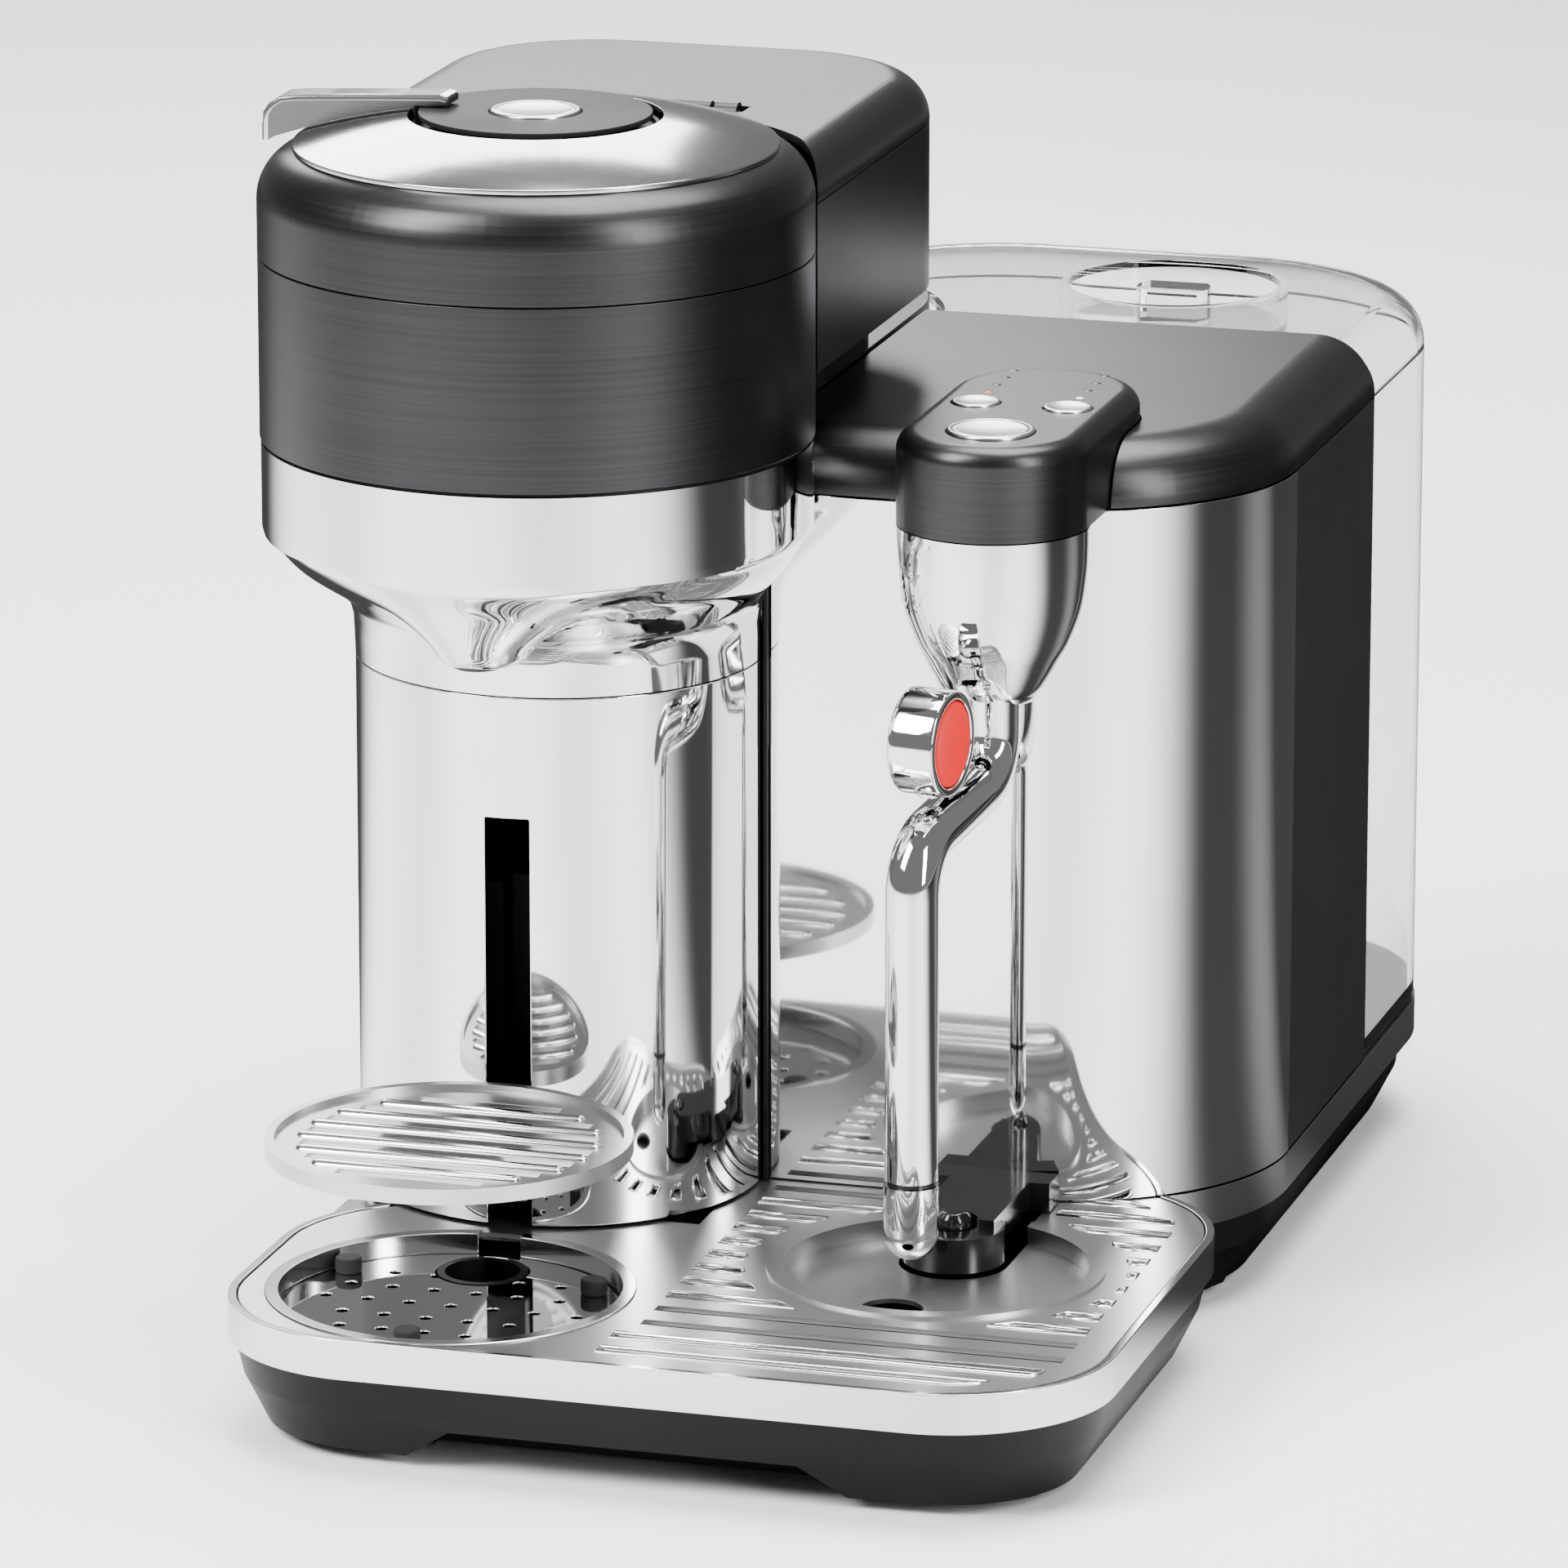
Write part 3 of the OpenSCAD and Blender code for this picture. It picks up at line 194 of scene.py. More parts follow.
def groupNode(tree, group, **values):
    node = tree.nodes.new("ShaderNodeGroup")
    node.node_tree = group
    for name, value in values.items():
        node.inputs[name].default_value = value
    return node


def startMaterial(name, viewColour):
    material = bpy.data.materials.new(name)
    material.use_nodes = True
    material.diffuse_color = (*viewColour, 1)
    tree = material.node_tree
    return material, tree, tree.nodes["Principled BSDF"]


def mixColour(tree, factor, colourA, colourB):
    node = tree.nodes.new("ShaderNodeMix")
    node.data_type = "RGBA"
    tree.links.new(factor, node.inputs["Factor"])
    node.inputs[6].default_value = (*colourA, 1)
    node.inputs[7].default_value = (*colourB, 1)
    return node.outputs[2]


def bumpFrom(tree, shader, height, strength, distance):
    bump = tree.nodes.new("ShaderNodeBump")
    bump.inputs["Strength"].default_value = strength
    bump.inputs["Distance"].default_value = distance
    tree.links.new(height, bump.inputs["Height"])
    tree.links.new(bump.outputs["Normal"], shader.inputs["Normal"])


def metalMaterial(name, dark, light, roughness, spread, lineBump, fineness=1.0, anisotropic=0.0):
    material, tree, shader = startMaterial(name, light)
    lines = groupNode(tree, brushedLines, Fineness=fineness)
    wear = groupNode(tree, handledSurface, Size=26.0)
    shade = mathNode(tree, "MULTIPLY_ADD", lines.outputs["Drift"], 0.35,
                     mathNode(tree, "MULTIPLY", lines.outputs["Lines"], 0.65))
    tree.links.new(mixColour(tree, shade, dark, light), shader.inputs["Base Color"])
    rough = mathNode(tree, "MULTIPLY_ADD", lines.outputs["Lines"], spread, roughness - spread / 2)
    rough = mathNode(tree, "MULTIPLY_ADD", wear.outputs["Smudge"], spread * 0.3, rough)
    tree.links.new(rough, shader.inputs["Roughness"])
    shader.inputs["Metallic"].default_value = 1.0
    shader.inputs["Anisotropic"].default_value = anisotropic
    bumpFrom(tree, shader, lines.outputs["Lines"], lineBump, 0.00005)
    return material


def mirrorMaterial(name, colour, roughness):
    material, tree, shader = startMaterial(name, colour)
    wear = groupNode(tree, handledSurface, Size=18.0)
    duller = tuple(v * 0.965 for v in colour)
    tree.links.new(mixColour(tree, wear.outputs["Smudge"], colour, duller), shader.inputs["Base Color"])
    rough = mathNode(tree, "MULTIPLY_ADD", wear.outputs["Smudge"], roughness * 0.8, roughness)
    tree.links.new(rough, shader.inputs["Roughness"])
    shader.inputs["Metallic"].default_value = 1.0
    return material


def plasticMaterial(name, dark, light, roughness, grain, grainBump, coat=0.0, specular=0.3):
    material, tree, shader = startMaterial(name, light)
    texture = groupNode(tree, mouldedGrain, Size=grain)
    wear = groupNode(tree, handledSurface, Size=34.0)
    tree.links.new(mixColour(tree, texture.outputs["Patches"], dark, light), shader.inputs["Base Color"])
    rough = mathNode(tree, "MULTIPLY_ADD", wear.outputs["Smudge"], 0.06, roughness)
    tree.links.new(rough, shader.inputs["Roughness"])
    shader.inputs["Coat Weight"].default_value = coat
    shader.inputs["Coat Roughness"].default_value = 0.06
    shader.inputs["Specular IOR Level"].default_value = specular
    bumpFrom(tree, shader, texture.outputs["Height"], grainBump, 0.0001)
    return material


def clearMaterial(name, tint, roughness, ior):
    material, tree, shader = startMaterial(name, tint)
    wear = groupNode(tree, handledSurface, Size=20.0)
    paler = tuple(min(1.0, v * 1.02) for v in tint)
    tree.links.new(mixColour(tree, wear.outputs["Smudge"], tint, paler), shader.inputs["Base Color"])
    rough = mathNode(tree, "MULTIPLY_ADD", wear.outputs["Smudge"], roughness, roughness)
    tree.links.new(rough, shader.inputs["Roughness"])
    shader.inputs["Transmission Weight"].default_value = 1.0
    shader.inputs["IOR"].default_value = ior
    return material


def lampMaterial(name, colour, glow):
    material, tree, shader = startMaterial(name, colour)
    wear = groupNode(tree, handledSurface, Size=60.0)
    tree.links.new(mixColour(tree, wear.outputs["Smudge"], colour, tuple(v * 0.8 for v in colour)),
                   shader.inputs["Base Color"])
    shader.inputs["Emission Color"].default_value = (*colour, 1)
    shader.inputs["Emission Strength"].default_value = glow
    shader.inputs["Roughness"].default_value = 0.25
    return material


finishes = {
    "darkBrushed": metalMaterial("darkBrushed", (0.024, 0.024, 0.025), (0.066, 0.066, 0.069), 0.33, 0.10, 0.08),
    "darkSatin": metalMaterial("darkSatin", (0.03, 0.03, 0.032), (0.06, 0.06, 0.062), 0.45, 0.08, 0.06),
    "chrome": mirrorMaterial("chrome", (0.80, 0.80, 0.805), 0.035),
    "polished": metalMaterial("polished", (0.66, 0.66, 0.66), (0.76, 0.76, 0.76), 0.15, 0.05, 0.02),
    "brushedSteel": metalMaterial("brushedSteel", (0.54, 0.54, 0.54), (0.62, 0.62, 0.62), 0.30, 0.05, 0.02, 1.2),
    "buttonSteel": metalMaterial("buttonSteel", (0.62, 0.62, 0.62), (0.82, 0.82, 0.82), 0.22, 0.10, 0.05, 2.0),
    "domeSteel": metalMaterial("domeSteel", (0.56, 0.56, 0.56), (0.64, 0.64, 0.64), 0.13, 0.03, 0.01),
    "leverSteel": metalMaterial("leverSteel", (0.11, 0.11, 0.115), (0.20, 0.20, 0.205), 0.26, 0.06, 0.03),
    "blackPlastic": plasticMaterial("blackPlastic", (0.003, 0.003, 0.003), (0.006, 0.006, 0.006), 0.42, 1500, 0.2, 0.0, 0.14),
    "blackGloss": plasticMaterial("blackGloss", (0.003, 0.003, 0.003), (0.005, 0.005, 0.005), 0.16, 900, 0.02, 0.3),
    "rubber": plasticMaterial("rubber", (0.014, 0.014, 0.014), (0.022, 0.022, 0.022), 0.75, 2200, 0.4),
    "darkPanel": plasticMaterial("darkPanel", (0.011, 0.011, 0.012), (0.017, 0.017, 0.018), 0.42, 1800, 0.05, 0.0, 0.06),
    "redInsert": plasticMaterial("redInsert", (0.50, 0.002, 0.003), (0.66, 0.004, 0.005), 0.40, 700, 0.01, 0.0, 0.08),
    "clearTank": clearMaterial("clearTank", (0.97, 0.98, 0.985), 0.012, 1.46),
    "castMetal": metalMaterial("castMetal", (0.36, 0.36, 0.35), (0.52, 0.52, 0.50), 0.45, 0.10, 0.15, 0.5),
    "boilerSteel": metalMaterial("boilerSteel", (0.42, 0.40, 0.35), (0.55, 0.53, 0.47), 0.32, 0.10, 0.06),
    "boardGreen": plasticMaterial("boardGreen", (0.02, 0.09, 0.045), (0.03, 0.13, 0.065), 0.4, 500, 0.05),
    "lampOff": lampMaterial("lampOff", (0.012, 0.012, 0.012), 0.0),
    "lampRed": lampMaterial("lampRed", (0.75, 0.03, 0.03), 1.2),
    "lampWhite": lampMaterial("lampWhite", (0.9, 0.9, 0.9), 1.0),
    "printWhite": lampMaterial("printWhite", (0.55, 0.55, 0.55), 0.0),
}

nodeFinish = {
    "blackPlastic": "tray_tub base_shell unit_frame neck wand_socket container_bin brew_chamber lid_floor "
                    "lever_hub tank_seat capsule_holder",
    "blackGloss": "stand_arm probe_bridge milk_probe wand_ring",
    "rubber": "tray_rubber base_feet recess_bumps drive_belt valve_poppet",
    "polished": "tray_band base_band recess_wall",
    "chrome": "funnel container_front front_panel steam_funnel recess_disc wand_tube wand_tip knob_body",
    "domeSteel": "dome",
    "brushedSteel": "tray_grille stand_plate pierce_plate hinge_pin motor_rotor",
    "darkBrushed": "body_cover tower_shell drum arm_body arm_cover lid_ring steam_head",
    "leverSteel": "lever",
    "darkPanel": "top_panel side_panel",
    "buttonSteel": "start_button steam_button temperature_button texture_button",
    "clearTank": "tank_shell tank_lid",
    "redInsert": "knob_insert",
    "lampOff": "level_lights",
    "castMetal": "spin_motor pump brew_heater",
    "boilerSteel": "steam_boiler",
    "boardGreen": "control_board",
}
for finish, names in nodeFinish.items():
    for name in names.split():
        nodes[name].data.materials.clear()
        nodes[name].data.materials.append(finishes[finish])
print("finishes ready")

# making and placing a piece from points in millimetres


def cleanMesh(mesh, sharpAngle):
    shape = bmesh.new()
    shape.from_mesh(mesh)
    bmesh.ops.remove_doubles(shape, verts=shape.verts, dist=0.000002)
    bmesh.ops.dissolve_degenerate(shape, edges=shape.edges, dist=0.000002)
    bmesh.ops.recalc_face_normals(shape, faces=shape.faces)
    for face in shape.faces:
        face.smooth = True
    shape.to_mesh(mesh)
    shape.free()
    mesh.set_sharp_from_angle(angle=math.radians(sharpAngle))


def placePiece(name, mesh, finish, node):
    # the piece moves with the node's body; when a finish is given it becomes the mesh's material, otherwise the mesh
    # keeps the materials it was copied with
    piece = bpy.data.objects.new(name, mesh)
    bpy.context.scene.collection.objects.link(piece)
    if finish:
        mesh.materials.clear()
        mesh.materials.append(finishes[finish])
    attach(piece, nodes[node]["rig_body"])
    return piece


def makePiece(name, points, faces, finish, node, replaced=(), sharpAngle=35):
    mesh = bpy.data.meshes.new(name)
    mesh.from_pydata([toMetres(point) for point in points], [], faces)
    cleanMesh(mesh, sharpAngle)
    piece = placePiece(name, mesh, finish, node)
    if replaced:
        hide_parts(*replaced)
    return piece


def loftRows(rows, closed):
    # joins rows of equally many points, and closed joins the last row to the first
    count = len(rows[0])
    points = [point for row in rows for point in row]
    faces = []
    for r in range(len(rows) if closed else len(rows) - 1):
        a, b = r * count, ((r + 1) % len(rows)) * count
        for i in range(count):
            j = (i + 1) % count
            faces.append((a + i, a + j, b + j, b + i))
    if not closed:
        faces.append(tuple(range(count)))
        faces.append(tuple(range(len(points) - count, len(points))))
    return points, faces


def roundedCorners(corners, steps=5):
    # (radius from the axis, height, corner radius) becomes a closed profile
    result = []
    for i, (x, z, radius) in enumerate(corners):
        here = Vector((x, z))
        if not radius:
            result.append((x, z))
            continue
        before = Vector(corners[i - 1][:2]) - here
        after = Vector(corners[(i + 1) % len(corners)][:2]) - here
        reach = min(radius, before.length * 0.49, after.length * 0.49)
        start, end = here + before.normalized() * reach, here + after.normalized() * reach
        for s in range(steps + 1):
            t = s / steps
            point = start * (1 - t) ** 2 + here * 2 * t * (1 - t) + end * t ** 2
            result.append((point.x, point.y))
    return result


def splineThrough(knots, steps=6):
    result = []
    for i in range(len(knots) - 1):
        quad = [Vector(knots[max(0, min(len(knots) - 1, i + k))]) for k in (-1, 0, 1, 2)]
        for s in range(steps):
            t = s / steps
            point = 0.5 * (2 * quad[1] + (quad[2] - quad[0]) * t
                           + (2 * quad[0] - 5 * quad[1] + 4 * quad[2] - quad[3]) * t ** 2
                           + (3 * quad[1] - quad[0] - 3 * quad[2] + quad[3]) * t ** 3)
            result.append((point.x, point.y))
    return result + [tuple(knots[-1])]


def turnProfile(profile, centre, steps=96):
    rows = []
    for i in range(steps):
        angle = 2 * math.pi * i / steps
        rows.append([(centre[0] + r * math.cos(angle), centre[1] + r * math.sin(angle), z)
                     for r, z in profile])
    return loftRows(rows, True)


# the folded edges that every cover and moulding has
softEdges = {
    "drum": 0.35, "lid_ring": 0.35, "arm_body": 0.35, "arm_cover": 0.35, "neck": 0.5, "body_cover": 0.3,
    "tower_shell": 0.35, "side_panel": 0.4, "front_panel": 0.25, "container_front": 0.35, "steam_head": 0.3,
    "tray_band": 0.6, "base_band": 0.6, "recess_wall": 0.4, "recess_disc": 0.25,
    "stand_plate": 0.45, "stand_arm": 0.8, "tray_tub": 1.6, "base_shell": 1.6, "tray_rubber": 1.0,
    "base_feet": 1.0, "dome": 0.25, "top_panel": 0.3, "lever_hub": 0.35, "lever": 0.7, "probe_bridge": 0.9,
    "milk_probe": 0.6, "tank_lid": 0.5, "tank_shell": 0.4, "recess_bumps": 0.6, "wand_ring": 0.2,
}


# the black mouldings lean in towards the worktop: wall insets at the step and at the foot
tapers = {"tray_tub": {"upper": 1.5, "lower": 7.0, "middle": 3.6, "foot": 9.5, "archFrom": 12.0, "archTo": 104.0},
          "base_shell": {"upper": 2.6, "lower": 9.0, "middle": 4.8, "foot": 11.0, "archFrom": None, "archTo": None}}
stepHeight, footHeight, archSlope = 15.0, 3.0, 9.0


def taperWalls(shape, taper):
    moves = []
    for vert in shape.verts:
        z = vert.co.z * 1000
        if z > stepHeight + 0.1 or 5.5 < z < 7.0:
            continue
        sides = [face for face in vert.link_faces if abs(face.normal.z) < 0.3]
        if not sides:
            continue
        across = Vector((0, 0, 0))
        for face in sides:
            across += Vector((face.normal.x, face.normal.y, 0))
        if across.length < 0.1:
            continue
        across.normalize()
        x, y = (vert.co.x - headX) * 1000, (vert.co.y - headY) * 1000
        if taper["archFrom"] is None and (across.y < -0.3 or (76 < x < 104 and y > 276)):
            continue
        above = any(face.calc_center_median().z * 1000 > stepHeight for face in sides)
        wall = taper["upper"] if above and abs(z - stepHeight) < 0.2 else taper["lower"]
        rise = min(max((z - footHeight) / (stepHeight - footHeight), 0), 1)
        target = taper["foot"] + (taper["middle"] - taper["foot"]) * rise ** 0.8
        move = across * (wall - target) / 1000
        if taper["archFrom"] is not None and z < footHeight + 0.2:
            if abs(x - taper["archFrom"]) < 0.5:
                move.x -= archSlope / 1000
            if abs(x - taper["archTo"]) < 0.5:
                move.x += archSlope / 1000
        moves.append((vert, move))
    for vert, move in moves:
        vert.co += move


def softenEdges(name, width):
    low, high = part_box(name)
    mesh = nodes[name].data.copy()
    shape = bmesh.new()
    shape.from_mesh(mesh)
    bmesh.ops.remove_doubles(shape, verts=shape.verts, dist=0.000003)
    bmesh.ops.dissolve_limit(shape, angle_limit=math.radians(0.3), verts=shape.verts, edges=shape.edges)
    if name in tapers:
        shape.normal_update()
        taperWalls(shape, tapers[name])
        bmesh.ops.remove_doubles(shape, verts=shape.verts, dist=0.00002)
        bmesh.ops.triangulate(shape, faces=[face for face in shape.faces if len(face.verts) > 4])
    shape.to_mesh(mesh)
    shape.free()
    piece = bpy.data.objects.new(name + "Soft", mesh)
    bpy.context.scene.collection.objects.link(piece)
    bevel = piece.modifiers.new("edge", "BEVEL")
    bevel.width = width / 1000
    bevel.segments = 2
    bevel.limit_method = "ANGLE"
    bevel.angle_limit = math.radians(32)
    bevel.miter_outer = "MITER_ARC"
    made = bpy.data.meshes.new_from_object(piece.evaluated_get(bpy.context.evaluated_depsgraph_get()))
    bpy.data.objects.remove(piece)
    shape = bmesh.new()
    shape.from_mesh(made)
    loose = sum(1 for edge in shape.edges if len(edge.link_faces) != 2)
    places = [vert.co for vert in shape.verts]
    outside = max(max(low[k] - min(p[k] for p in places), max(p[k] for p in places) - high[k])
                  for k in range(3))
    shape.free()
    if loose or outside > 0.00003:
        print("edges of", name, "stay as made", loose, round(outside * 1000, 3))
        return
    for face in made.polygons:
        face.use_smooth = True
    made.set_sharp_from_angle(angle=math.radians(38))
    made.name = name + "Soft"
    soft = placePiece(name + "Soft", made, None, name)
    weighted = soft.modifiers.new("shading", "WEIGHTED_NORMAL")
    weighted.keep_sharp = True
    soft.data = bpy.data.meshes.new_from_object(soft.evaluated_get(bpy.context.evaluated_depsgraph_get()))
    soft.modifiers.clear()
    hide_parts(name)


for name, width in softEdges.items():
    softenEdges(name, width)
print("edges softened")

# the polished bowl under the head, with its pouring lip
funnelBox = nodeBox("funnel")
frontBox = nodeBox("container_front")
bowl = {"top": funnelBox[5], "bottom": funnelBox[2], "neckRadius": (frontBox[3] - frontBox[0]) / 2,
        "neckX": (frontBox[3] + frontBox[0]) / 2, "lipRise": 14.5, "lipHalfWidth": 11.0, "lipFront": -57.0,
        "flare": 1.8, "blend": 7.0, "neckY": frontBox[1] + (frontBox[3] - frontBox[0]) / 2, "sides": 180}


def bowlSection(z):
    # centre and radius of the plain bowl at a height
    rise = z - bowl["bottom"]
    knots = [(0, 0.0, 0.0), (13, 0.0, 0.08), (19, 0.11, 0.31), (25, 0.41, 0.6), (31, 0.68, 0.86),
             (39, 0.93, 1.0), (51, 0.985, 1.0), (64, 1.0, 1.0)]
    total = [0.0, 0.0]
    for offset in (-3, -1.5, 0, 1.5, 3):
        value = min(max(rise + offset, 0), 64)
        for (r0, a0, b0), (r1, a1, b1) in zip(knots, knots[1:]):
            if r0 <= value <= r1:
                t = (value - r0) / (r1 - r0)
                total[0] += (a0 + (a1 - a0) * t) / 5
                total[1] += (b0 + (b1 - b0) * t) / 5
                break
    radius = bowl["neckRadius"] + (headRadius - 0.3 - bowl["neckRadius"]) * total[0]
    return bowl["neckX"] * (1 - total[1]), bowl["neckY"] * (1 - total[1]), radius


def reachOf(pivot, angle, x, y, radius):
    # distance from the pivot to the far side of a circle, or nothing when the ray misses it
    dx, dy = math.cos(angle), math.sin(angle)
    along = (x - pivot[0]) * dx + (y - pivot[1]) * dy
    off = (x - pivot[0]) ** 2 + (y - pivot[1]) ** 2 - along ** 2
    return max(along + math.sqrt(radius ** 2 - off), 0.0) if off < radius ** 2 else 0.0


def bowlRow(z, inset=0.0, lip=True):
    pivot = (-1.0, 12.0)
    x, y, radius = bowlSection(z)
    rise = min(max((z - bowl["bottom"] - bowl["lipRise"]) / 25.0, 0), 1)
    noseRadius = bowl["lipHalfWidth"] + (headRadius - bowl["lipHalfWidth"]) * rise ** bowl["flare"]
    noseFront = bowl["lipFront"] - (headRadius + bowl["lipFront"]) * rise
    row = []
    for i in range(bowl["sides"]):
        angle = 2 * math.pi * i / bowl["sides"]
        far = reachOf(pivot, angle, x, y, radius)
        if lip:
            nose = reachOf(pivot, angle, 0, noseFront + noseRadius, noseRadius - inset)
            near = max(bowl["blend"] - abs(far - nose), 0) / bowl["blend"]
            far = max(far, nose) + (near * near * bowl["blend"] / 4 if nose else 0)
        far = min(far, reachOf(pivot, angle, 0, 0, headRadius - 0.3)) if z > bowl["bottom"] + 14 else far
        row.append((pivot[0] + far * math.cos(angle), pivot[1] + far * math.sin(angle), z))
    return row


def ringRow(x, y, radius, z):
    row = []
    for i in range(bowl["sides"]):
        angle = 2 * math.pi * i / bowl["sides"]
        far = reachOf((-1.0, 12.0), angle, x, y, radius)
        row.append((-1.0 + far * math.cos(angle), 12.0 + far * math.sin(angle), z))
    return row


def makeBowl():
    lipZ = bowl["bottom"] + bowl["lipRise"]
    levels = [bowl["top"] - i * 1.3 for i in range(200) if bowl["top"] - i * 1.3 > lipZ + 2.0]
    rows = [bowlRow(z) for z in levels]
    rows += [bowlRow(lipZ + h, inset) for h, inset in ((1.4, 0.1), (0.7, 0.4), (0.2, 0.9), (0.0, 1.6))]
    rows += [bowlRow(lipZ - 0.02 - h, 0, False) for h in (0, 4, 8, 12)]
    rows.append(bowlRow(bowl["bottom"], 0, False))
    rows.append(ringRow(bowl["neckX"], bowl["neckY"], bowl["neckRadius"] - 12, bowl["bottom"]))
    rows.append(ringRow(bowl["neckX"], bowl["neckY"], bowl["neckRadius"] - 12, bowl["top"] - 24))
    rows.append(ringRow(0, 0, headRadius - 14, bowl["top"] - 23))
    rows.append(ringRow(0, 0, headRadius - 14, bowl["top"]))
    points, faces = loftRows(rows, True)
    makePiece("pouringBowl", points, faces, "chrome", "funnel", ["funnel"], 40)
    mouth = roundedCorners([(3.2, lipZ - 0.5, 0.2), (6.2, lipZ - 0.5, 0.3), (6.2, lipZ + 0.6, 0), (3.2, lipZ + 0.6, 0)])
    points, faces = turnProfile(mouth, (0, -50), 48)
    makePiece("coffeeMouth", points, faces, "blackGloss", "brew_chamber")


makeBowl()

# the milk side: the waisted cup around the ball joint, the bent tube and its knob
cupBox, ballBox, tipBox = nodeBox("steam_funnel"), nodeBox("wand_tube"), nodeBox("wand_tip")
noseBox, knobBox = nodeBox("steam_head"), nodeBox("knob_insert")
steam = {"x": (noseBox[0] + noseBox[3]) / 2, "cupY": cupBox[1] + (cupBox[3] - cupBox[0]) / 2, "pivotLift": 2.0,
         "turn": -8.4, "tubeRadius": 6.8, "bendRadius": 14.0, "bendAngle": 82.0, "reach": 50.5, "neckDrop": 13.0,
         "ballRadius": 8.4, "notchWidth": 6.5, "notchRise": 8.0, "knobRadius": 13.5, "knobReach": 40.0}
steam["y"] = steam["cupY"] + steam["pivotLift"]
steam["z"] = noseBox[5] - 65.0


def makeSteamCup():
    top, z0 = cupBox[5], cupBox[2]
    outer = splineThrough([(24.5, top), (24.5, top - 5), (24.2, top - 12), (23.0, top - 21), (20.5, top - 29),
                           (17.6, top - 35), (14.6, top - 40.5), (12.9, z0 + 1.6)])
    inner = splineThrough([(11.2, z0 + 0.6), (12.9, top - 38), (16.0, top - 33), (19.0, top - 28),
                           (21.4, top - 20), (22.4, top - 10), (22.5, top)])
    profile = outer + [(12.4, z0 + 0.4), (11.8, z0)] + inner
    points, faces = turnProfile(profile, (0, 0), 128)
    flat = cupBox[4] - steam["cupY"]
    shaped = []
    for x, y, z in points:
        if y < 0 and z < z0 + steam["notchRise"] + 2:
            arch = z0 + steam["notchRise"] * math.exp(-(x / steam["notchWidth"]) ** 4)
            z = max(z, arch)
        shaped.append((x + steam["x"], min(y, flat) + steam["cupY"], z))
    makePiece("steamCup", shaped, faces, "chrome", "steam_funnel", ["steam_funnel"], 40)


def wandPlace(across, forward, up):
    # from the tube's own plane at the ball to the head frame
    turn = math.radians(steam["turn"])
    x, y = across, -forward
    return (steam["x"] + x * math.cos(turn) - y * math.sin(turn),
            steam["y"] + x * math.sin(turn) + y * math.cos(turn), steam["z"] + up)


def makeWand():
    bend, drop = steam["bendRadius"], steam["neckDrop"]
    angle = math.radians(steam["bendAngle"])
    path = [(0.0, -4.0), (0.0, -8.0), (0.0, -drop)]
    path += [(bend * (1 - math.cos(angle * i / 14)), -drop - bend * math.sin(angle * i / 14)) for i in range(1, 15)]
    run = (steam["reach"] - 2 * bend * (1 - math.cos(angle))) / math.sin(angle)
    half = (path[-1][0] + run * math.sin(angle), path[-1][1] - run * math.cos(angle))
    low = half[1] - bend * math.sin(angle)
    path += [(steam["reach"] - bend * (1 - math.cos(angle * (1 - i / 14))),
              low + bend * math.sin(angle * (1 - i / 14))) for i in range(15)]
    path.append((steam["reach"], tipBox[5] + 1.4 - steam["z"]))
    rows = []
    for i, (forward, up) in enumerate(path):
        ahead = Vector(path[min(i + 1, len(path) - 1)]) - Vector(path[max(i - 1, 0)])
        ahead.normalize()
        row = []
        for k in range(40):
            turn = 2 * math.pi * k / 40
            side, out = steam["tubeRadius"] * math.cos(turn), steam["tubeRadius"] * math.sin(turn)
            row.append(wandPlace(side, forward - ahead.y * out, up + ahead.x * out))
        rows.append(row)
    points, faces = loftRows(rows, False)
    makePiece("steamTube", points, faces, "chrome", "wand_tube", ["wand_tube"], 40)
    ball = [(0.0, -steam["ballRadius"])] + [(steam["ballRadius"] * math.cos(math.radians(a)),
            steam["ballRadius"] * math.sin(math.radians(a))) for a in range(-80, 90, 10)] + [(0.0, steam["ballRadius"])]
    points, faces = turnProfile([(r, z + steam["z"]) for r, z in ball], (steam["x"], steam["y"]), 48)
    makePiece("tubeBall", points, faces, "chrome", "wand_tube")


def turnAcross(profile, reach, up, steps=72):
    # a profile of (radius, along the tube's side axis) turned about that axis
    rows = []
    for i in range(steps):
        angle = 2 * math.pi * i / steps
        rows.append([wandPlace(a, reach + r * math.cos(angle), up + r * math.sin(angle)) for r, a in profile])
    return loftRows(rows, True)


def makeKnob():
    up, radius = (knobBox[2] + knobBox[5]) / 2 - steam["z"], steam["knobRadius"]
    body = roundedCorners([(0, -6.5, 0), (radius, -6.5, 2.4), (radius, 6.5, 1.2), (radius - 2.2, 6.5, 0.5),
                           (radius - 2.6, 5.0, 0), (0, 5.0, 0)], 7)
    points, faces = turnAcross(body, steam["knobReach"], up)
    makePiece("steamKnob", points, faces, "chrome", "knob_body", ["knob_body"], 40)
    face = [(0.0, 5.0)] + [(radius - 2.7, 5.0), (radius - 2.7, 5.9), (radius - 3.2, 6.3)]
    face += [((radius - 3.6) * t, 6.35 - 0.9 * (1 - t * t)) for t in (1, 0.85, 0.7, 0.55, 0.4, 0.25, 0.1, 0)]
    points, faces = turnAcross(face, steam["knobReach"], up)
    makePiece("knobInsert", points, faces, "redInsert", "knob_insert", ["knob_insert"], 60)
    stalk = roundedCorners([(0, up + radius - 27.5, 0), (3.2, up + radius - 27.5, 0.4),
                            (3.2, up - radius + 1.5, 0.4), (0, up - radius + 1.5, 0)])
    place = wandPlace(0, steam["knobReach"], 0)
    stem = [(r, z + steam["z"]) for r, z in stalk]
    points, faces = turnProfile(stem, (place[0], place[1]), 32)
    makePiece("knobStalk", points, faces, "chrome", "knob_body")


makeSteamCup()
makeWand()
makeKnob()
print("pouring bowl and steam side made")

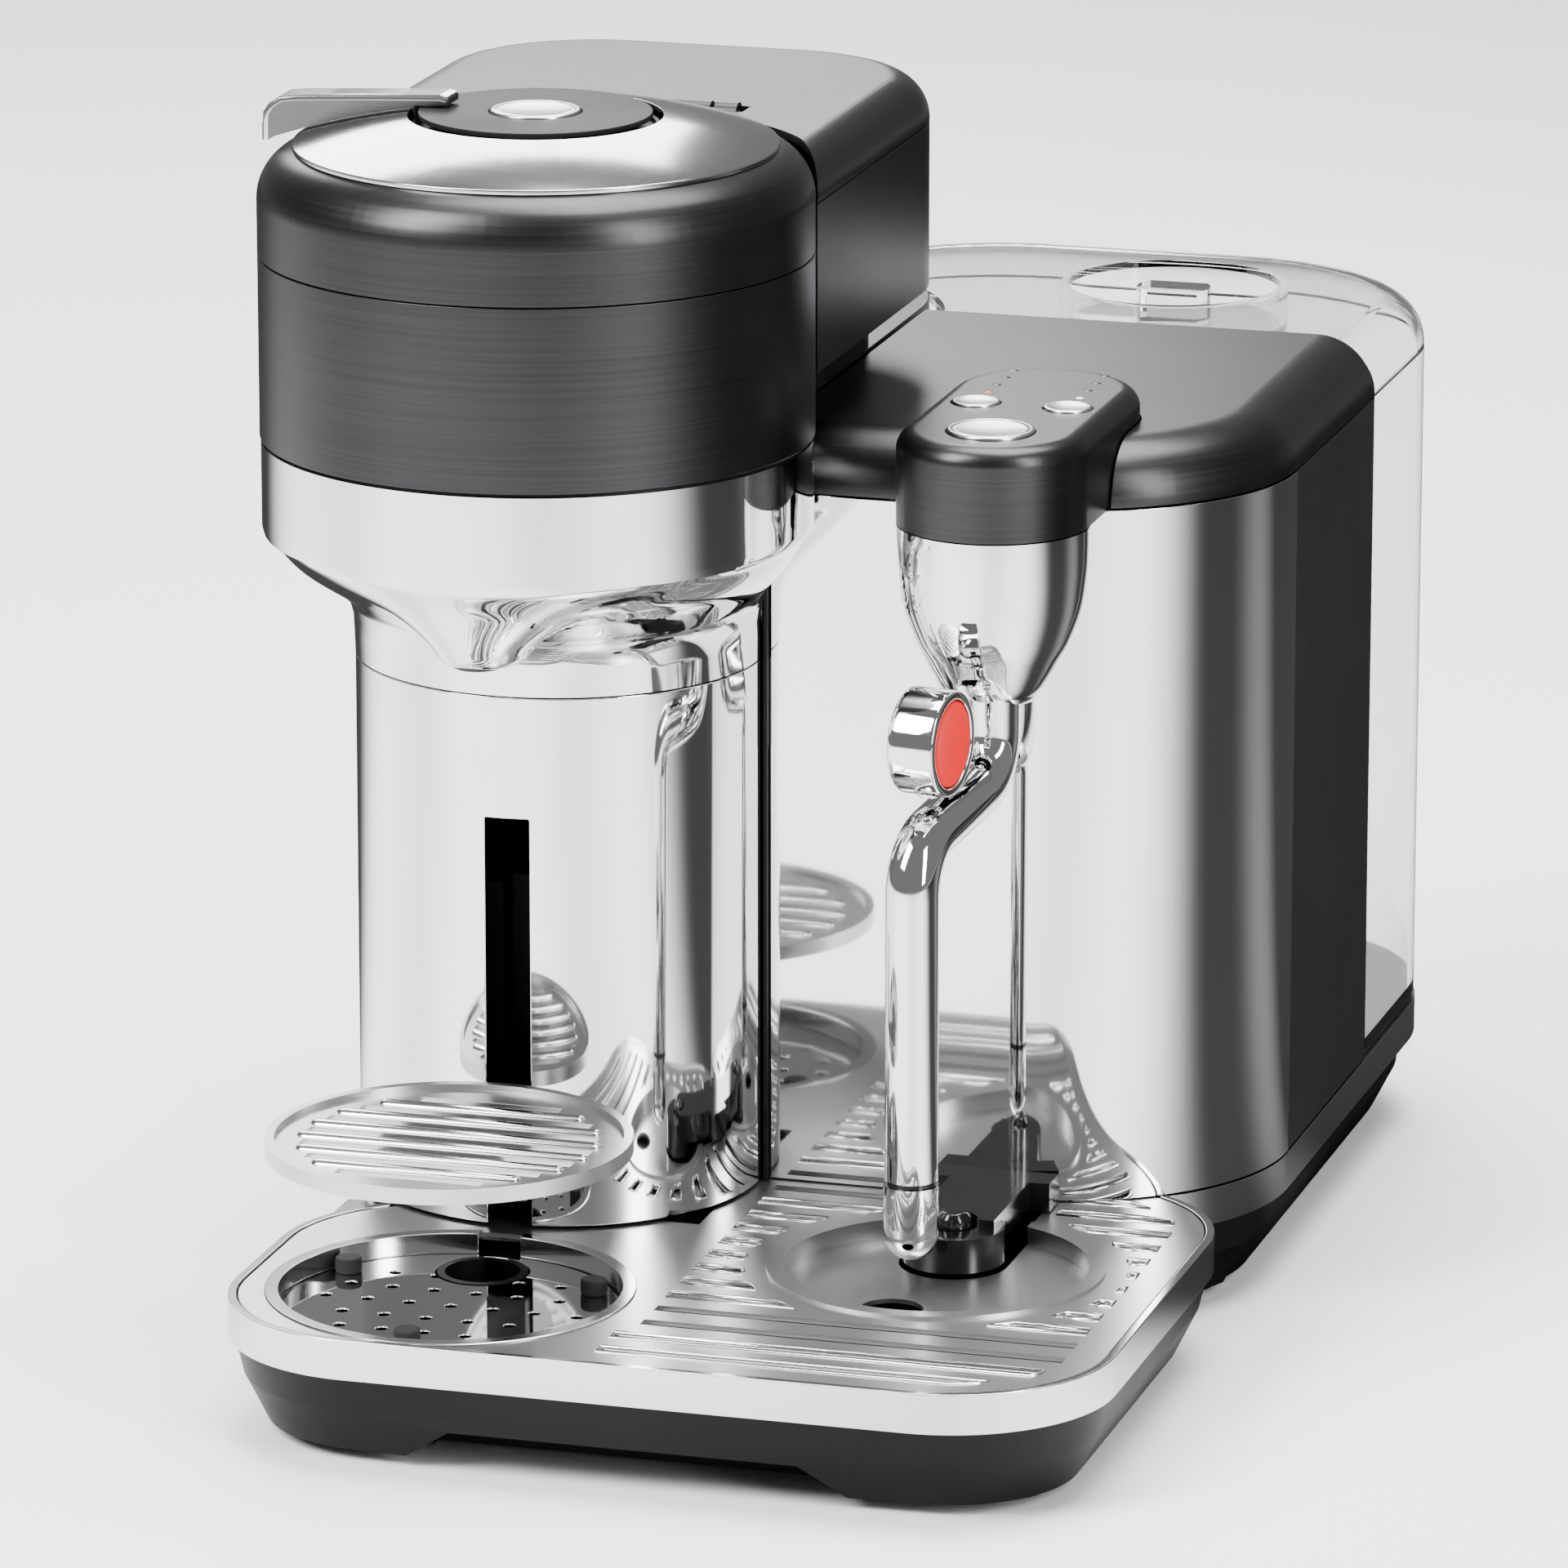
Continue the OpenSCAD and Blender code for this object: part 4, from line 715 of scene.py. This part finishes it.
# spun buttons with a dished top, and the lenses of the level lights
buttons = {"start_button": 0.5, "steam_button": 0.5, "temperature_button": 0.35, "texture_button": 0.35}


def makeButton(name, dish):
    x0, y0, z0, x1, y1, z1 = nodeBox(name)
    radius = (x1 - x0) / 2
    cap = z1 - 3.0
    profile = [(0, z0), (radius * 0.35, z0), (radius * 0.35, cap)]
    profile += roundedCorners([(radius, cap, 0.3), (radius, z1, 0.7), (radius - 1.4, z1, 0.3)], 4)[:14]
    profile += [(radius * 0.86 * t, z1 - dish * (1 - t ** 2) - 0.04) for t in (1, 0.9, 0.75, 0.6, 0.45, 0.3, 0.15, 0)]
    points, faces = turnProfile(profile, ((x0 + x1) / 2, (y0 + y1) / 2), 96)
    makePiece(name + "Spun", points, faces, "buttonSteel", name, [name], 50)


def makeLights():
    x0, y0, z0, x1, y1, z1 = nodeBox("level_lights")
    for side, x in (("left", x0 + 1.2), ("right", x1 - 1.2)):
        for i in range(4):
            y = y0 + 1.2 + (y1 - y0 - 2.4) * i / 3
            lens = [(0, z0), (1.15, z0), (1.15, z1 - 0.35), (1.0, z1 - 0.12), (0.6, z1), (0, z1)]
            points, faces = turnProfile(lens, (x, y), 24)
            finish = "lampOff" if i else ("lampRed" if side == "left" else "lampWhite")
            makePiece("light_%s_%d" % (side, i), points, faces, finish, "level_lights")
    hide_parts("level_lights")


def makeLeverCap():
    # the polished strip that runs along the top of the lever and down its outer end
    x0, y0, z0, x1, y1, z1 = nodeBox("lever")
    top = {"half": (y1 - y0) / 2, "thick": 1.5}
    lidTop = z1 - 12.0
    line = [(21.9, z1 - 0.5), (24.0, z1 - 0.05), (44.0, z1 - 1.0), (62.0, lidTop + 9.95), (66.2, lidTop + 9.3),
            (69.0, lidTop + 7.4), (70.6, lidTop + 5.0), (70.8, lidTop + 2.0), (70.8, z0 + 0.2)]
    half = min(top["half"], 4.3) + 0.05
    rows = []
    for i, place in enumerate(line):
        ahead = (Vector(line[min(i + 1, len(line) - 1)]) - Vector(line[max(i - 1, 0)])).normalized()
        inward = Vector((ahead.y, -ahead.x)) * top["thick"]
        section = [(-half, 0.35), (-half + 0.35, 0.0), (half - 0.35, 0.0), (half, 0.35), (half, 1.0), (-half, 1.0)]
        rows.append([(-(place[0] + inward.x * depth), side, place[1] + inward.y * depth) for side, depth in section])
    points, faces = loftRows(rows, False)
    makePiece("leverCap", points, faces, "polished", "lever", (), 50)


makeLeverCap()
for name, dish in buttons.items():
    makeButton(name, dish)
makeLights()
print("buttons and lights made")

# the floor of the pressed grooves in the deck
deckBox, dishBox, discBox = nodeBox("tray_band"), nodeBox("tray_grille"), nodeBox("recess_disc")
grooves = {"depth": 1.7, "thick": 0.7, "edge": 4.0, "recessRadius": 47.6, "dishRadius": 42.4,
           "dishY": -25.5, "channel": 14.5, "back": -8.0, "rear": 50.0, "corner": 37.0}


def makeGrooveFloor():
    top = deckBox[5] - 0.4 - grooves["depth"]
    x0, y0, x1 = deckBox[0] + grooves["edge"], deckBox[1] + grooves["edge"], deckBox[3] - grooves["edge"]
    corner = grooves["corner"]

    def arc(x, y, start):
        return [(x + corner * math.cos(math.radians(start + a)), y + corner * math.sin(math.radians(start + a)))
                for a in range(0, 91, 6)]

    outline = [(44.5, grooves["back"]), (x0, grooves["back"])] + arc(x0 + corner, y0 + corner, 180)
    outline += arc(x1 - corner, y0 + corner, 270) + arc(x1 - corner, grooves["rear"] - corner, 0)
    outline.append((44.5, grooves["rear"]))
    discX, discY = (discBox[0] + discBox[3]) / 2, (discBox[1] + discBox[4]) / 2
    holes = [[(discX + grooves["recessRadius"] * math.cos(t * math.pi / 36),
               discY + grooves["recessRadius"] * math.sin(t * math.pi / 36)) for t in range(72)]]
    probe = nodeBox("milk_probe")
    dishX, half = (probe[0] + probe[3]) / 2, grooves["channel"]
    gap = math.degrees(math.asin(half / grooves["dishRadius"]))
    key = [(dishX + grooves["dishRadius"] * math.cos(math.radians(90 + gap + (360 - 2 * gap) * t / 60)),
            grooves["dishY"] + grooves["dishRadius"] * math.sin(math.radians(90 + gap + (360 - 2 * gap) * t / 60)))
           for t in range(61)]
    holes.append(key + [(dishX + half, grooves["rear"] - 1), (dishX - half, grooves["rear"] - 1)])
    flat = [[Vector((x, y, 0)) for x, y in outline]] + [[Vector((x, y, 0)) for x, y in ring] for ring in holes]
    count = sum(len(ring) for ring in flat)
    points = [(p.x, p.y, z) for z in (top, top - grooves["thick"]) for ring in flat for p in ring]
    triangles = [tuple(t) for t in tessellate_polygon(flat)]
    faces = triangles + [tuple(i + count for i in reversed(t)) for t in triangles]
    start = 0
    for ring in flat:
        for i in range(len(ring)):
            j = (i + 1) % len(ring)
            faces.append((start + i, start + j, start + j + count, start + i + count))
        start += len(ring)
    makePiece("grooveFloor", points, faces, "polished", "tray_grille")




def grooveLoops():
    # the closed edge loops of the pressed grooves, read from the deck's own top face
    shape = bmesh.new()
    shape.from_mesh(nodes["tray_grille"].data)
    bmesh.ops.remove_doubles(shape, verts=shape.verts, dist=0.000003)
    shape.normal_update()
    top = deckBox[5] - 0.4
    ahead = {}
    for edge in shape.edges:
        if len(edge.link_faces) != 2 or any(abs(vert.co.z * 1000 - top) > 0.05 for vert in edge.verts):
            continue
        tilt = sorted(abs(face.normal.z) for face in edge.link_faces)
        if tilt[0] < 0.3 and tilt[1] > 0.9:
            a, b = edge.verts
            ahead.setdefault(a.index, []).append(b.index)
            ahead.setdefault(b.index, []).append(a.index)
    shape.verts.ensure_lookup_table()
    loops, seen = [], set()
    for first in sorted(ahead):
        if first in seen or len(ahead[first]) != 2:
            continue
        loop, here = [first], ahead[first][0]
        while here != first and len(loop) < 400 and len(ahead.get(here, [])) == 2:
            loop.append(here)
            here = ahead[here][0] if ahead[here][0] != loop[-2] else ahead[here][1]
        seen.update(loop)
        if here == first:
            loops.append([((shape.verts[i].co.x - headX) * 1000, (shape.verts[i].co.y - headY) * 1000)
                          for i in loop])
    shape.free()
    return loops


def makeGrooveLips():
    lip, top = {"radius": 0.75, "sink": 0.35, "widest": 7.0}, deckBox[5] - 0.4
    points, faces, count = [], [], 0
    for loop in grooveLoops():
        ys = [y for x, y in loop]
        if max(ys) - min(ys) > lip["widest"] or len(loop) < 6:
            continue
        area = sum(a[0] * b[1] - b[0] * a[1] for a, b in zip(loop, loop[1:] + loop[:1]))
        rows = []
        for i, (x, y) in enumerate(loop):
            before, after = Vector(loop[i - 1]), Vector(loop[(i + 1) % len(loop)])
            along = (after - before).normalized()
            out = Vector((along.y, -along.x)) * (1 if area > 0 else -1)
            row = []
            for k in range(8):
                turn = 2 * math.pi * k / 8
                reach = 0.25 + lip["radius"] * math.cos(turn)
                row.append((x + out.x * reach, y + out.y * reach, top - lip["sink"] + lip["radius"] * math.sin(turn)))
            rows.append(row)
        more, rings = loftRows(rows, True)
        faces += [tuple(i + len(points) for i in face) for face in rings]
        points += more
        count += 1
    makePiece("grooveLips", points, faces, "polished", "tray_grille", (), 80)
    print("groove lips", count)


def makeStandRidges():
    # the pressed bars of the cup stand, each with rounded ends and a bright crown
    low, high = nodeBox("stand_plate")[:3], nodeBox("stand_plate")[3:]
    x, y, radius = (low[0] + high[0]) / 2, (low[1] + high[1]) / 2, (high[0] - low[0]) / 2
    ridge = {"pitch": 10.6, "half": 2.1, "inset": 9.5, "base": high[2] - 1.7, "rise": 1.1}
    points, faces = [], []
    for i in range(-3, 3):
        across = (i + 0.5) * ridge["pitch"]
        reach = math.sqrt((radius - ridge["inset"]) ** 2 - across ** 2)
        rows = []
        for level in range(6):
            turn = math.pi / 2 * level / 5
            width, up = ridge["half"] * math.cos(turn) + 0.02, ridge["base"] + ridge["rise"] * math.sin(turn)
            row = []
            for side in (1, -1):
                for k in range(9):
                    angle = math.pi * k / 8 - math.pi / 2
                    row.append((x + side * (reach + width * math.cos(angle)),
                                y + across + side * width * math.sin(angle), up))
            rows.append(row)
        more, rings = loftRows(rows, False)
        faces += [tuple(k + len(points) for k in face) for face in rings]
        points += more
    makePiece("standRidges", points, faces, "polished", "stand_plate", (), 60)


makeGrooveFloor()
makeGrooveLips()
makeStandRidges()
print("deck made")


def bowlLine(x, y, low, high):
    # the height at which a wall at this place meets the bowl
    z = low
    while z < high:
        x0, y0, radius = bowlSection(z)
        if math.hypot(x - x0, y - y0) < radius:
            break
        z += 0.4
    return z


def makeTrimEdge():
    # the black strip beside the column meets the bowl along one smooth line
    trim = {"left": 49.9, "right": 50.8, "front": 32.0, "rear": 62.0, "low": 150.0}
    profile = []
    for i in range(31):
        y = trim["front"] + (trim["rear"] - trim["front"]) * i / 30
        profile.append((y, bowlLine(trim["right"], y, trim["low"], bowl["top"] - 4)))
    rows = [[(x, y, z) for y, z in profile] + [(x, trim["rear"], trim["low"]), (x, trim["front"], trim["low"])]
            for x in (trim["left"], trim["right"])]
    points, faces = loftRows(rows, False)
    makePiece("trimEdge", points, faces, "blackPlastic", "unit_frame")


def makePanelCorner():
    # the upper inner corner of the front panel, cut along the bowl
    panel = nodeBox("front_panel")
    edge = {"left": panel[0] + 0.3, "right": panel[0] + 16.0, "front": panel[1] + 0.02, "rear": panel[1] + 1.9,
            "low": 165.0, "high": panel[5] - 0.1}
    profile = []
    for i in range(41):
        x = edge["left"] + (edge["right"] - edge["left"]) * i / 40
        profile.append((x, bowlLine(x, edge["front"], edge["low"], edge["high"])))
    rows = [[(x, y, z) for x, z in profile] + [(edge["right"], y, edge["low"]), (edge["left"], y, edge["low"])]
            for y in (edge["front"], edge["rear"])]
    points, faces = loftRows(rows, False)
    makePiece("panelCorner", points, faces, "chrome", "front_panel")


makePanelCorner()
makeTrimEdge()

# floor, lights and camera

studio = {"floorSize": 14.0, "floorColour": (0.97, 0.97, 0.97), "worldColour": (0.92, 0.93, 0.94),
          "worldStrength": 0.24}


def makeFloor():
    bpy.ops.mesh.primitive_grid_add(x_subdivisions=4, y_subdivisions=4, size=studio["floorSize"])
    floor = bpy.context.object
    floor.name = "floor"
    material, tree, shader = startMaterial("floorPaper", studio["floorColour"])
    wear = groupNode(tree, handledSurface, Size=4.0)
    tree.links.new(mixColour(tree, wear.outputs["Smudge"], studio["floorColour"],
                             tuple(v * 0.985 for v in studio["floorColour"])), shader.inputs["Base Color"])
    shader.inputs["Roughness"].default_value = 0.7
    floor.data.materials.append(material)


def makeLight(name, place, target, width, height, power):
    data = bpy.data.lights.new(name, "AREA")
    data.shape = "RECTANGLE"
    data.size = width
    data.size_y = height
    data.energy = power
    light = bpy.data.objects.new(name, data)
    bpy.context.scene.collection.objects.link(light)
    light.location = place
    light.rotation_euler = (Vector(target) - Vector(place)).to_track_quat("-Z", "Y").to_euler()
    return light


def makeCamera():
    view = {"place": (0.7069, -2.4550, 0.8164), "direction": (-0.2713, 0.9265, -0.2607), "lens": 232.65}
    data = bpy.data.cameras.new("camera")
    data.lens = view["lens"]
    data.sensor_width = 36.0
    data.clip_end = 50.0
    camera = bpy.data.objects.new("camera", data)
    bpy.context.scene.collection.objects.link(camera)
    camera.location = view["place"]
    camera.rotation_euler = Vector(view["direction"]).to_track_quat("-Z", "Y").to_euler()
    bpy.context.scene.camera = camera


makeFloor()
centre = (0.0, 0.0, 0.15)
makeLight("keyLight", (-1.1, -1.3, 1.7), centre, 0.8, 1.4, 95)
makeLight("fillLight", (1.6, -1.0, 1.0), centre, 0.40, 1.6, 40)
makeLight("topLight", (0.1, 0.3, 1.9), centre, 1.4, 1.2, 95)
makeLight("rearLight", (-0.8, 1.6, 1.2), centre, 1.0, 0.8, 24)


def makePaintedReflectionMat():
    # painted reflection: a graded mat seen only in glossy rays, bright in front and dark to the rear right with painted
    # dark bands, standing in for the bright and dark parts of a studio that the chrome reflects
    mat = {"size": 5.0, "bright": 0.95, "dark": 0.02, "brightTowards": -112.0}
    bpy.ops.mesh.primitive_grid_add(x_subdivisions=8, y_subdivisions=8, size=mat["size"], location=(0, 0, 0.0006))
    piece = bpy.context.object
    piece.name = "paintedReflectionMat"
    material, tree, shader = startMaterial("paintedReflectionMat", (0.5, 0.5, 0.5))
    split = tree.nodes.new("ShaderNodeSeparateXYZ")
    tree.links.new(tree.nodes.new("ShaderNodeTexCoord").outputs["Object"], split.inputs[0])
    # painted reflection tone: a broad grade by angle round the machine plus five painted dark bands
    angle = mathNode(tree, "ARCTAN2", split.outputs["Y"], split.outputs["X"])
    turned = mathNode(tree, "SUBTRACT", angle, math.radians(mat["brightTowards"]))
    broad = mathNode(tree, "MULTIPLY_ADD", mathNode(tree, "COSINE", turned), 0.60, 0.42)
    paintedBands = mathNode(tree, "COSINE", mathNode(tree, "MULTIPLY", turned, 5.0))
    paintedTone = mathNode(tree, "MULTIPLY_ADD", paintedBands, 0.22, broad)
    clamp = tree.nodes.new("ShaderNodeMapRange")
    clamp.interpolation_type = "SMOOTHSTEP"
    tree.links.new(paintedTone, clamp.inputs["Value"])
    tree.links.new(mixColour(tree, clamp.outputs["Result"], (mat["dark"],) * 3, (mat["bright"],) * 3),
                   shader.inputs["Base Color"])
    shader.inputs["Roughness"].default_value = 0.9
    shader.inputs["Specular IOR Level"].default_value = 0.0
    piece.data.materials.append(material)
    # the painted reflection is hidden from camera, shadow, diffuse and transmission rays, so it shows only in
    # reflections
    piece.visible_camera = False
    piece.visible_shadow = False
    piece.visible_diffuse = False
    piece.visible_transmission = False


# lays the painted reflection mat just above the floor
makePaintedReflectionMat()
world = bpy.data.worlds.new("studioWorld")
bpy.context.scene.world = world
world.use_nodes = True
background = world.node_tree.nodes["Background"]
background.inputs["Color"].default_value = (*studio["worldColour"], 1)
background.inputs["Strength"].default_value = studio["worldStrength"]
makeCamera()
print("stage ready")
